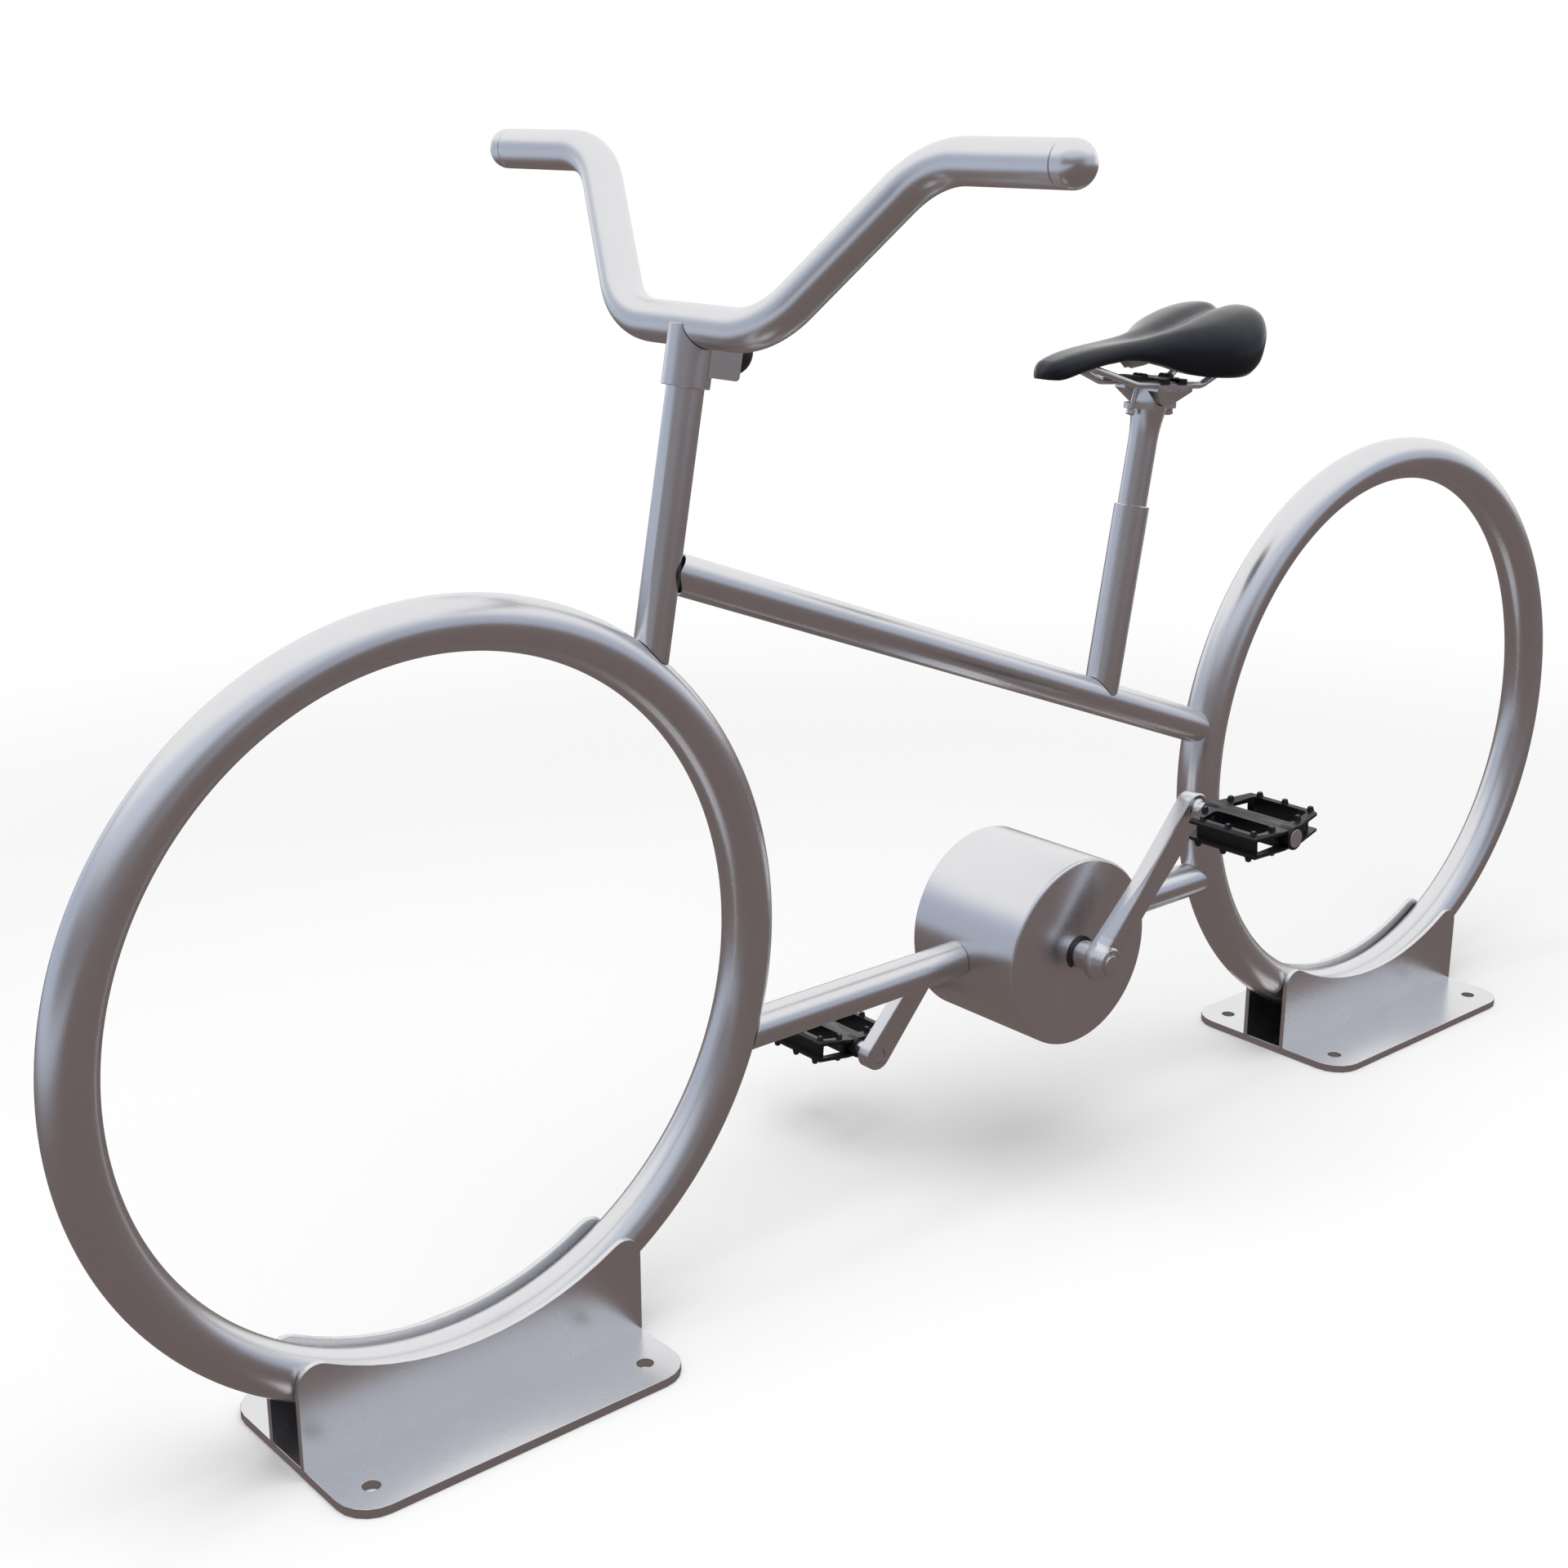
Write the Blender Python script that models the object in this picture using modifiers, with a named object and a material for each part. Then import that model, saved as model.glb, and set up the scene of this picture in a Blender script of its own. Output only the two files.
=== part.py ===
"""Outdoor exercise bike: two tube rings on foot plates, a raked tube frame, a drive drum with cranks."""

import math

import bmesh
import bpy
from mathutils import Matrix, Vector

# Overall layout
WHEELBASE = 1.200
RING_RADIUS = 0.300
RING_TUBE_RADIUS = 0.0216
JOINT_GAP = 0.0003
CUT_OVERRUN = 0.004
WELD_DISTANCE = 0.00001

# Feet under the rings
FOOT_LENGTH = 0.3174
FOOT_WIDTH = 0.2058
FOOT_THICKNESS = 0.008
FOOT_CORNER_RADIUS = 0.030
FOOT_HOLE_INSET = 0.030
FOOT_HOLE_RADIUS = 0.0072
RING_LIFT = 0.00885
CHEEK_THICKNESS = 0.005
CHEEK_OVERHANG = 0.0018
CHEEK_EAR_RADIUS = 0.0171
CHEEK_RIM_STEP = 0.0009

# Head column, stem sleeve and handlebar
LEAN = math.radians(10.5)
COLUMN_RING_ANGLE = math.radians(41.55)
COLUMN_RADIUS = 0.01506
BAR_HEIGHT = 0.2800
SLEEVE_RADIUS = 0.0192
SLEEVE_LENGTH = 0.0474
BAR_RADIUS = 0.01685
BAR_CROSS_HALF = 0.0855
BAR_LEG_LENGTH = 0.1800
BAR_LEG_ANGLE = math.radians(50.0)
BAR_SWEEP = math.radians(24.9)
BAR_BEND_RADIUS = 0.0750
BAR_HALF_WIDTH = 0.3264
PLUG_LENGTH = 0.0236
PLUG_SHOULDER = 0.0080
PLUG_SPIGOT_RADIUS = 0.0138
PLUG_SPIGOT_LENGTH = 0.0180

# Control housing and its knob, behind the stem sleeve
HOUSING_WIDTH = 0.0368
HOUSING_HEIGHT = 0.0440
HOUSING_REACH = 0.0378
HOUSING_RISE = 0.0094
HOUSING_EDGE_RADIUS = 0.0036
KNOB_RADIUS = 0.0180
KNOB_DEPTH = 0.0195
KNOB_SKIRT = 0.0040
KNOB_STEM_RADIUS = 0.0040
KNOB_STEM_LENGTH = 0.0080

# Top tube and its joint to the column
TOP_TUBE_RADIUS = 0.01686
TOP_TUBE_WALL = 0.0024
TOP_TUBE_SLOPE = math.radians(20.54)
TOP_TUBE_HEIGHT = 0.0901
TOP_TUBE_COPE_GAP = 0.0027
TOP_TUBE_MOUTH_DEPTH = 0.0500

# Seat tube and seat post
SEAT_TUBE_RING_RUN = 0.1748
SEAT_TUBE_RADIUS = 0.0165
SEAT_TUBE_LENGTH = 0.1866
POST_RADIUS = 0.0136
POST_WALL = 0.0024
POST_INSERTION = 0.1050
SEAT_BORE_DEPTH = 0.1480
CLAMP_HEIGHT = 0.3016
POST_SCREW_RADIUS = 0.0040
POST_SCREW_DROP = 0.0160
POST_SCREW_LENGTH = 0.0060

# Post head and the two bolt rail clamp
RAIL_TILT = math.radians(4.5)
RAIL_RADIUS = 0.0035
RAIL_SPREAD = 0.0220
HEAD_DROP = 0.0178
HEAD_THICKNESS = 0.0056
HEAD_WAIST_HALF_WIDTH = 0.0150
HEAD_EAR_RADIUS = 0.0074
HEAD_FLARE_RADIUS = 0.0178
HEAD_FLARE_LENGTH = 0.0300
BOLT_REACH = 0.0265
BOLT_TOE_IN = math.radians(15.5)
BOLT_RADIUS = 0.0025
BOLT_HEAD_RADIUS = 0.0042
BOLT_HEAD_LENGTH = 0.0048
BOLT_TIP = 0.0010
BARREL_NUT_RADIUS = 0.0042
BARREL_NUT_LENGTH = 0.0130
NUT_SINK = 0.0009
CRADLE_HALF_LENGTH = 0.0250
CRADLE_HALF_WIDTH = 0.0260
CRADLE_LIP = 0.0060
CRADLE_SET_BACK = 0.0026
CRADLE_SLOT_LENGTH = 0.0200
CRADLE_SLOT_HEIGHT = 0.0016
CRADLE_SLOT_DROP = 0.0048
CRADLE_SLOT_DEPTH = 0.0020
CRADLE_RECESS_DEPTH = 0.0012
CRADLE_RECESS_WALL = 0.0026
CRADLE_ROCKER_RADIUS = 0.0200
CRADLE_FOOT_HALF_LENGTH = 0.0095
CRADLE_FOOT_HALF_WIDTH = 0.0200
CRADLE_POCKET_HALF_WIDTH = 0.0140
CRADLE_WEB_HALF_LENGTH = 0.0085
TOP_CLAMP_RISE = 0.0058
TOP_CLAMP_HALF_LENGTH = 0.0265
TOP_CLAMP_HALF_WIDTH = 0.0270
TOP_CLAMP_HOOK_NEAR = 0.0070
TOP_CLAMP_HOOK_FAR = 0.0175
TOP_CLAMP_WAIST_HALF_WIDTH = 0.0165
TOP_CLAMP_END_HALF_WIDTH = 0.0090

# Saddle
SADDLE_NOSE_REACH = 0.1555
SADDLE_LENGTH = 0.2635
SADDLE_HALF_WIDTH = 0.0700
SADDLE_SKIRT_RISE = 0.0071
SADDLE_CROWN_RISE = 0.0678
SADDLE_CHANNEL_DEPTH = 0.0060
SADDLE_CHANNEL_HALF_WIDTH = 0.0120
SADDLE_TAIL_NOTCH = 0.0100
SADDLE_SPLIT_SHARE = 0.85
SHELL_THICKNESS = 0.0030
SHELL_GAP = 0.0006
SHELL_LIP = 0.0008
SHELL_EDGE_SHARE = 0.25
SHELL_FIRST_SECTION = 3
SHELL_LAST_SECTION = 21
RAIL_NOSE_REACH = 0.1040
RAIL_NOSE_SPREAD = 0.0095
RAIL_NOSE_RISE = 0.0238
RAIL_FRONT_BEND = 0.0490
RAIL_REAR_BEND = 0.0440
RAIL_TAIL_REACH = 0.0880
RAIL_TAIL_SPREAD = 0.0290
RAIL_TAIL_RISE = 0.0180
SOCKET_LENGTH = 0.0160
SOCKET_WALL = 0.0017
SOCKET_NOSE_TOP = 0.0250
SOCKET_NOSE_DROP = 0.0015
SOCKET_TAIL_TOP = 0.0465
SOCKET_TAIL_RISE = 0.0036

# Section shares from nose to tail: station, half width, crown, skirt, roof, channel
SADDLE_SECTION_SHARES = (
    (0.000, 0.064, 0.275, 0.185, 0.05, 0.00),
    (0.021, 0.179, 0.357, 0.130, 0.08, 0.00),
    (0.044, 0.226, 0.395, 0.124, 0.20, 0.00),
    (0.082, 0.260, 0.440, 0.147, 0.36, 0.00),
    (0.139, 0.283, 0.489, 0.203, 0.52, 0.00),
    (0.211, 0.294, 0.532, 0.259, 0.58, 0.03),
    (0.287, 0.303, 0.565, 0.298, 0.58, 0.12),
    (0.362, 0.320, 0.595, 0.321, 0.56, 0.30),
    (0.427, 0.354, 0.621, 0.301, 0.54, 0.50),
    (0.484, 0.400, 0.647, 0.255, 0.54, 0.68),
    (0.533, 0.464, 0.677, 0.193, 0.54, 0.80),
    (0.579, 0.557, 0.707, 0.110, 0.56, 0.90),
    (0.620, 0.671, 0.740, 0.054, 0.60, 1.00),
    (0.658, 0.786, 0.776, 0.018, 0.64, 1.00),
    (0.696, 0.883, 0.815, 0.005, 0.67, 1.00),
    (0.734, 0.949, 0.858, -0.003, 0.70, 1.00),
    (0.780, 0.991, 0.908, -0.002, 0.72, 1.00),
    (0.825, 1.000, 0.954, 0.031, 0.72, 1.00),
    (0.871, 0.977, 0.990, 0.135, 0.70, 1.00),
    (0.909, 0.911, 1.012, 0.308, 0.66, 1.00),
    (0.939, 0.820, 1.016, 0.456, 0.60, 0.90),
    (0.966, 0.686, 0.997, 0.596, 0.52, 0.80),
    (0.985, 0.529, 0.942, 0.671, 0.45, 0.70),
    (1.000, 0.329, 0.852, 0.720, 0.40, 0.60),
)
PAD_OUTSIDE_SHARES = (
    (0.00, 1.00), (0.14, 1.00), (0.30, 1.00), (0.48, 0.985), (0.65, 0.94), (0.80, 0.84), (0.91, 0.70),
    (0.98, 0.50), (1.00, 0.28), (0.97, 0.09), (0.91, 0.00),
)
PAD_INSIDE_SHARES = ((0.82, 0.08), (0.75, 0.45), (0.62, 0.82), (0.34, 1.00), (0.00, 1.00))

# Drive drum on the lower tubes
DRIVE_BACK = 0.0459
DRIVE_DROP = 0.1007
DRIVE_OFFSET = 0.0068
LOWER_TUBE_RADIUS = 0.01725
LOWER_TUBE_DROP = 0.1054
DRUM_RADIUS = 0.0911
DRUM_LENGTH = 0.1317
DRUM_WALL = 0.0040
COVER_THICKNESS = 0.0070
COVER_EDGE_RADIUS = 0.0030
COVER_SPIGOT_LENGTH = 0.0050
COVER_HUB_RADIUS = 0.0250
COVER_HUB_LENGTH = 0.0120
BEARING_RADIUS = 0.0175
BEARING_WIDTH = 0.0100
SPINDLE_RADIUS = 0.0095
SPINDLE_END_RADIUS = 0.0080
COLLAR_RADIUS = 0.01365
COLLAR_LENGTH = 0.0180
CLIP_RADIUS = 0.0168
CLIP_THICKNESS = 0.0012
STATOR_LENGTH = 0.0500
STATOR_BORE_RADIUS = 0.0600
STATOR_ROOT_RADIUS = 0.0760
STATOR_TEETH = 12
STATOR_TOOTH_WIDTH = 0.0140
ROTOR_RADIUS = 0.0585
ROTOR_LENGTH = 0.0560
ROTOR_RIM = 0.0120
ROTOR_WEB = 0.0100
ROTOR_HUB_RADIUS = 0.0180

# Cranks
CRANK_LENGTH = 0.1680
CRANK_ANGLE = math.radians(128.4)
CRANK_BOSS_RADIUS = 0.0196
CRANK_BOSS_BACK = 0.0870
CRANK_BOSS_SHOULDER = 0.0094
CRANK_BOSS_LENGTH = 0.0178
CRANK_BOSS_FACE_RADIUS = 0.0138
CRANK_END_RADIUS = 0.0150
CRANK_ARM_HALF_WIDTH = 0.0128
CRANK_THICKNESS = 0.0150
CRANK_SET_OUT = 0.0098
CRANK_EDGE = 0.0014
CRANK_FACET_LENGTH = 0.0980
CRANK_FACET_WIDTH = 0.0075
CRANK_FACET_DEPTH = 0.0085
CRANK_CAP_RADIUS = 0.0108
CRANK_CAP_DISC_RADIUS = 0.0084
CRANK_CAP_LIP = 0.0003
CRANK_CAP_DEPTH = 0.0060
CRANK_CAP_PROUD = 0.0016

# Pedals
PEDAL_SPINDLE_RADIUS = 0.0055
PEDAL_COLLAR_RADIUS = 0.0078
PEDAL_COLLAR_LENGTH = 0.0125
PEDAL_FLARE_RADIUS = 0.0104
PEDAL_FLARE_LENGTH = 0.0040
PEDAL_THREAD_RADIUS = 0.0070
PEDAL_LENGTH = 0.0950
PEDAL_BARREL_PROUD = 0.0025
PEDAL_EDGE_LENGTH = 0.0750
PEDAL_EDGE_SHIFT = 0.0025
PEDAL_HALF_WIDTH = 0.0450
PEDAL_NOSE_HALF_WIDTH = 0.0120
PEDAL_HALF_HEIGHT = 0.0115
PEDAL_WEB_HALF_HEIGHT = 0.0093
PEDAL_LIP_WIDTH = 0.0009
PEDAL_CHAMFER = 0.0026
PEDAL_RIM_WIDTH = 0.0080
PEDAL_RIM_THICKNESS = 0.0052
PEDAL_SLOT_DEPTH = 0.0062
PEDAL_END_WALL = 0.0090
PEDAL_RIB_HALF_WIDTH = 0.0098
PEDAL_WINDOW_NEAR_LENGTH = 0.0695
PEDAL_WINDOW_FAR_LENGTH = 0.0610
PEDAL_WINDOW_CORNER_RADIUS = 0.0040
PEDAL_BARREL_RADIUS = 0.0110
PEDAL_BARREL_WAIST_RADIUS = 0.0088
PEDAL_BARREL_LENGTH = 0.0190
PEDAL_BARREL_TAPER = 0.0060
PEDAL_PITCH = math.radians(4.4)
PEDAL_CAP_RADIUS = 0.0086
PEDAL_CAP_LENGTH = 0.0060
STUD_EDGE_INSET = 0.0038
STUD_STEP = 0.0286
STUD_TOP_SHIFT = 0.0066
STUD_BOTTOM_SHIFT = 0.0013
STUD_END_INSET = 0.0094
STUD_END_SPREAD = 0.0186
STUD_HALF_WIDTH = 0.0028
STUD_HEIGHT = 0.0036
STUD_EMBED = 0.0022

# Facet counts
RING_STEPS = 48
RING_SIDES = 12
TUBE_SIDES = 20
SMALL_SIDES = 16
DRUM_STEPS = 32
BOSS_STEPS = 20
BEND_POINTS = 5
BAR_RESOLUTION = 5
RAIL_RESOLUTION = 2

# Places worked out from the sizes above

def ring_meeting(centre, start, direction):
    """Point where a line in the bike's middle plane first reaches a ring's centre line."""
    offset = start - centre
    along_line = offset.dot(direction)
    rest = offset.length_squared - RING_RADIUS**2
    reach = -along_line - math.sqrt(along_line**2 - rest)
    return start + reach * direction


RING_CENTRE_HEIGHT = FOOT_THICKNESS + RING_LIFT + RING_TUBE_RADIUS + RING_RADIUS
FRONT_RING_CENTRE = Vector((WHEELBASE / 2, 0.0, RING_CENTRE_HEIGHT))
REAR_RING_CENTRE = Vector((-WHEELBASE / 2, 0.0, RING_CENTRE_HEIGHT))
COLUMN_AXIS = Vector((-math.sin(LEAN), 0.0, math.cos(LEAN)))
COLUMN_BACK = Vector((-math.cos(LEAN), 0.0, -math.sin(LEAN)))
LEFT = Vector((0.0, 1.0, 0.0))
UP = Vector((0.0, 0.0, 1.0))
COLUMN_FOOT = FRONT_RING_CENTRE + RING_RADIUS * Vector(
    (-math.sin(COLUMN_RING_ANGLE), 0.0, math.cos(COLUMN_RING_ANGLE))
)
BAR_CENTRE = COLUMN_FOOT + BAR_HEIGHT * COLUMN_AXIS
TOP_TUBE_BACK = Vector((-math.cos(TOP_TUBE_SLOPE), 0.0, -math.sin(TOP_TUBE_SLOPE)))
TOP_TUBE_START = COLUMN_FOOT + TOP_TUBE_HEIGHT * COLUMN_AXIS
TOP_TUBE_END = ring_meeting(REAR_RING_CENTRE, TOP_TUBE_START, TOP_TUBE_BACK)
SEAT_FOOT = TOP_TUBE_END - SEAT_TUBE_RING_RUN * TOP_TUBE_BACK
SEAT_AXIS = COLUMN_AXIS
CLAMP_CENTRE = SEAT_FOOT + CLAMP_HEIGHT * SEAT_AXIS
DRIVE_CENTRE = Vector((-DRIVE_BACK, DRIVE_OFFSET, RING_CENTRE_HEIGHT - DRIVE_DROP))
LOWER_TUBE_HEIGHT = RING_CENTRE_HEIGHT - LOWER_TUBE_DROP
LOWER_TUBE_RING_RUN = math.sqrt(RING_RADIUS**2 - LOWER_TUBE_DROP**2)


def clear_scene():
    for item in list(bpy.data.objects):
        bpy.data.objects.remove(item, do_unlink=True)


def make_collection(name):
    collection = bpy.data.collections.new(name)
    bpy.context.scene.collection.children.link(collection)
    return collection


def make_material(name, colour, roughness, metallic):
    material = bpy.data.materials.new(name)
    material.use_nodes = True
    shader = material.node_tree.nodes["Principled BSDF"]
    shader.inputs["Base Color"].default_value = (*colour, 1.0)
    shader.inputs["Roughness"].default_value = roughness
    shader.inputs["Metallic"].default_value = metallic
    return material


clear_scene()
PARTS = make_collection("exercise_bike")
CUTTERS = make_collection("cutters")

SATIN_STEEL = make_material("satin_steel", (0.62, 0.63, 0.65), 0.34, 1.0)
DARK_STEEL = make_material("dark_steel", (0.10, 0.10, 0.11), 0.45, 1.0)
BRIGHT_ALUMINIUM = make_material("bright_aluminium", (0.72, 0.72, 0.74), 0.28, 1.0)
BLACK_NYLON = make_material("black_nylon", (0.012, 0.012, 0.014), 0.42, 0.0)
SHELL_PLASTIC = make_material("shell_plastic", (0.55, 0.54, 0.53), 0.45, 0.0)
BLACK_RUBBER = make_material("black_rubber", (0.010, 0.010, 0.010), 0.60, 0.0)
SADDLE_COVER = make_material("saddle_cover", (0.020, 0.022, 0.026), 0.50, 0.0)


def frame_at(origin, x_axis, z_axis):
    """World matrix whose X and Z axes lie along the given directions."""
    z = z_axis.normalized()
    x = (x_axis - x_axis.dot(z) * z).normalized()
    y = z.cross(x)
    turn = Matrix((x, y, z)).transposed().to_4x4()
    return Matrix.Translation(origin) @ turn


def along(origin, direction):
    """World matrix whose Z axis runs along direction, with Y kept to the bike's left where it can be."""
    side = LEFT if abs(direction.normalized().dot(LEFT)) < 0.9 else UP
    x_axis = side.cross(direction)
    return frame_at(origin, x_axis, direction)


def place(item, matrix, material=None, collection=None):
    for owner in list(item.users_collection):
        owner.objects.unlink(item)
    (collection or PARTS).objects.link(item)
    item.matrix_world = matrix
    if material is not None:
        item.data.materials.clear()
        item.data.materials.append(material)
    return item


def as_cutter(item):
    place(item, item.matrix_world.copy(), None, CUTTERS)
    item.hide_render = True
    item.display_type = "WIRE"
    return item


def cut(item, cutter, operation="DIFFERENCE"):
    modifier = item.modifiers.new(cutter.name, "BOOLEAN")
    modifier.operation = operation
    modifier.object = cutter
    modifier.solver = "EXACT"
    return item


def smooth(item, degrees=35.0):
    item.data.shade_smooth()
    item.data.set_sharp_from_angle(angle=math.radians(degrees))
    return item


def rod(name, start, end, radius, material=None, sides=TUBE_SIDES):
    """Straight cylinder between two points."""
    span = end - start
    bpy.ops.mesh.primitive_cylinder_add(radius=radius, depth=span.length, vertices=sides)
    item = bpy.context.object
    item.name = name
    place(item, along((start + end) / 2, span), material)
    return smooth(item)


def turned(name, profile, matrix, material=None, steps=TUBE_SIDES, closed=False):
    """Body turned about its own Z axis from (radius, height) points that run down the outer side."""
    mesh = bpy.data.meshes.new(name)
    shape = bmesh.new()
    points = [shape.verts.new((radius, 0.0, height)) for radius, height in profile]
    for first, second in zip(points, points[1:]):
        shape.edges.new((first, second))
    if closed:
        shape.edges.new((points[-1], points[0]))
    shape.to_mesh(mesh)
    shape.free()
    item = bpy.data.objects.new(name, mesh)
    place(item, matrix, material)
    screw = item.modifiers.new("turn", "SCREW")
    screw.axis = "Z"
    screw.angle = 2 * math.pi
    screw.steps = steps
    screw.render_steps = steps
    screw.use_merge_vertices = True
    screw.merge_threshold = WELD_DISTANCE
    screw.use_smooth_shade = False
    if material is not None:
        item = bake_in_place(item, material)
    return item


def ring_profile(outer, inner, low, high):
    """Closed outline of a plain turned ring."""
    return [(outer, high), (outer, low), (inner, low), (inner, high)]


def solid_profile(steps):
    """Outline of a solid turned body from (radius, low, high) steps listed from the top down."""
    points = [(0.0, steps[0][2])]
    for radius, low, high in steps:
        points.append((radius, high))
        points.append((radius, low))
    points.append((0.0, steps[-1][1]))
    return points


def bake(item):
    """Turns an object with its modifiers into a plain mesh object of the same name and place."""
    bpy.context.view_layer.update()
    graph = bpy.context.evaluated_depsgraph_get()
    mesh = bpy.data.meshes.new_from_object(item.evaluated_get(graph))
    shape = bmesh.new()
    shape.from_mesh(mesh)
    bmesh.ops.remove_doubles(shape, verts=shape.verts, dist=WELD_DISTANCE)
    shape.to_mesh(mesh)
    shape.free()
    name = item.name
    matrix = item.matrix_world.copy()
    owner = item.users_collection[0]
    bpy.data.objects.remove(item, do_unlink=True)
    solid = bpy.data.objects.new(name, mesh)
    owner.objects.link(solid)
    solid.matrix_world = matrix
    return solid


def arc_points(centre, radius, start, end, count):
    """Points on a plane arc, both ends included."""
    return [
        (
            centre[0] + radius * math.cos(start + (end - start) * step / count),
            centre[1] + radius * math.sin(start + (end - start) * step / count),
        )
        for step in range(count + 1)
    ]


def circle_points(centre, radius, count):
    return arc_points(centre, radius, 0.0, 2 * math.pi, count)[:-1]


def rounded_rectangle(length, width, radius, count=5):
    """Outline of a rectangle with round corners, centred on the origin."""
    points = []
    for quarter, (side_x, side_y) in enumerate(((1, 1), (-1, 1), (-1, -1), (1, -1))):
        centre = (side_x * (length / 2 - radius), side_y * (width / 2 - radius))
        start = quarter * math.pi / 2
        points += arc_points(centre, radius, start, start + math.pi / 2, count)
    return points


def flat(name, outlines, thickness, matrix, material=None, edge=0.0):
    """Plate from plane outlines, the later ones being holes; its middle lies on the matrix's XY plane."""
    curve = bpy.data.curves.new(name, "CURVE")
    curve.dimensions = "2D"
    curve.fill_mode = "BOTH"
    curve.extrude = thickness / 2 - edge
    curve.bevel_depth = edge
    curve.bevel_resolution = 0
    curve.offset = -edge
    for outline in outlines:
        spline = curve.splines.new("POLY")
        spline.points.add(len(outline) - 1)
        for point, (x, y) in zip(spline.points, outline):
            point.co = (x, y, 0.0, 1.0)
        spline.use_cyclic_u = True
    item = bpy.data.objects.new(name, curve)
    place(item, matrix)
    item = bake(item)
    return place(item, matrix, material)


def bent_path(corners, radius, count=BEND_POINTS):
    """Points along straight runs joined by round bends of one radius."""
    path = [corners[0]]
    for before, corner, after in zip(corners, corners[1:], corners[2:]):
        come = (corner - before).normalized()
        leave = (after - corner).normalized()
        turn = come.angle(leave)
        normal = (leave - come * come.dot(leave)).normalized()
        start = corner - come * radius * math.tan(turn / 2)
        centre = start + normal * radius
        for step in range(count + 1):
            angle = turn * step / count
            path.append(centre + radius * (come * math.sin(angle) - normal * math.cos(angle)))
    path.append(corners[-1])
    return path


def pipe(name, path, radius, material, resolution):
    """Round tube along a list of world points, with filled ends, as a mesh."""
    curve = bpy.data.curves.new(name, "CURVE")
    curve.dimensions = "3D"
    curve.bevel_depth = radius
    curve.bevel_resolution = resolution
    curve.use_fill_caps = True
    spline = curve.splines.new("POLY")
    spline.points.add(len(path) - 1)
    for point, place_m in zip(spline.points, path):
        point.co = (*place_m, 1.0)
    item = bpy.data.objects.new(name, curve)
    place(item, Matrix.Identity(4))
    item = bake(item)
    place(item, Matrix.Identity(4), material)
    return smooth(item)


def ring_torus(name, centre, grow=0.0, material=None):
    bpy.ops.mesh.primitive_torus_add(
        major_radius=RING_RADIUS,
        minor_radius=RING_TUBE_RADIUS + grow,
        major_segments=RING_STEPS,
        minor_segments=RING_SIDES,
    )
    item = bpy.context.object
    item.name = name
    turn = Matrix.Rotation(math.pi / 2, 4, "X")
    place(item, Matrix.Translation(centre) @ turn, material)
    return smooth(item)


def build_foot(end_name, centre):
    """Base plate with four holes and the two cheek plates that hold the ring."""
    half_length = FOOT_LENGTH / 2
    half_width = FOOT_WIDTH / 2
    outlines = [rounded_rectangle(FOOT_LENGTH, FOOT_WIDTH, FOOT_CORNER_RADIUS)]
    for side_x in (1, -1):
        for side_y in (1, -1):
            hole = (side_x * (half_length - FOOT_HOLE_INSET), side_y * (half_width - FOOT_HOLE_INSET))
            outlines.append(circle_points(hole, FOOT_HOLE_RADIUS, SMALL_SIDES))
    middle = Vector((centre.x, 0.0, FOOT_THICKNESS / 2))
    flat(f"{end_name}_foot_plate", outlines, FOOT_THICKNESS, Matrix.Translation(middle), SATIN_STEEL)

    inner_face = RING_TUBE_RADIUS + JOINT_GAP
    for side_name, side in (("left", 1), ("right", -1)):
        origin = Vector((centre.x, side * (inner_face + CHEEK_THICKNESS / 2), RING_CENTRE_HEIGHT))
        matrix = frame_at(origin, Vector((1.0, 0.0, 0.0)), -LEFT)
        flat(f"{end_name}_cheek_{side_name}", [cheek_outline()], CHEEK_THICKNESS, matrix, SATIN_STEEL)


def cheek_outline():
    """Side plate in the ring's plane: a hollow that follows the ring between two round ears."""
    half = FOOT_LENGTH / 2 + CHEEK_OVERHANG
    hollow = RING_RADIUS - RING_TUBE_RADIUS + CHEEK_RIM_STEP
    ear_x = half - CHEEK_EAR_RADIUS
    ear_y = -math.sqrt((hollow + CHEEK_EAR_RADIUS) ** 2 - ear_x**2)
    bottom = -(RING_CENTRE_HEIGHT - FOOT_THICKNESS - JOINT_GAP)
    tangent = math.atan2(-ear_y, ear_x)
    points = [(-half, bottom), (half, bottom)]
    points += arc_points((ear_x, ear_y), CHEEK_EAR_RADIUS, 0.0, math.pi - tangent, 7)
    points += arc_points((0.0, 0.0), hollow, -tangent, tangent - math.pi, 14)[1:-1]
    points += arc_points((-ear_x, ear_y), CHEEK_EAR_RADIUS, tangent, math.pi, 7)
    return points


def build_rings():
    ring_torus("front_ring", FRONT_RING_CENTRE, 0.0, SATIN_STEEL)
    ring_torus("rear_ring", REAR_RING_CENTRE, 0.0, SATIN_STEEL)
    front = as_cutter(ring_torus("front_ring_clearance", FRONT_RING_CENTRE, JOINT_GAP))
    rear = as_cutter(ring_torus("rear_ring_clearance", REAR_RING_CENTRE, JOINT_GAP))
    return front, rear


def build_column(front_cut):
    """Head column, coped on the front ring and open where the top tube meets it."""
    top = BAR_HEIGHT - BAR_RADIUS - JOINT_GAP
    column = rod("head_column", COLUMN_FOOT, COLUMN_FOOT + top * COLUMN_AXIS, COLUMN_RADIUS, SATIN_STEEL)
    cut(column, front_cut)
    mouth_end = TOP_TUBE_START + (COLUMN_RADIUS + CUT_OVERRUN) * TOP_TUBE_BACK
    mouth = rod("column_mouth", TOP_TUBE_START, mouth_end, COLUMN_RADIUS - TOP_TUBE_WALL / 2)
    cut(column, as_cutter(mouth))
    return bake_in_place(column, SATIN_STEEL)


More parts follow.
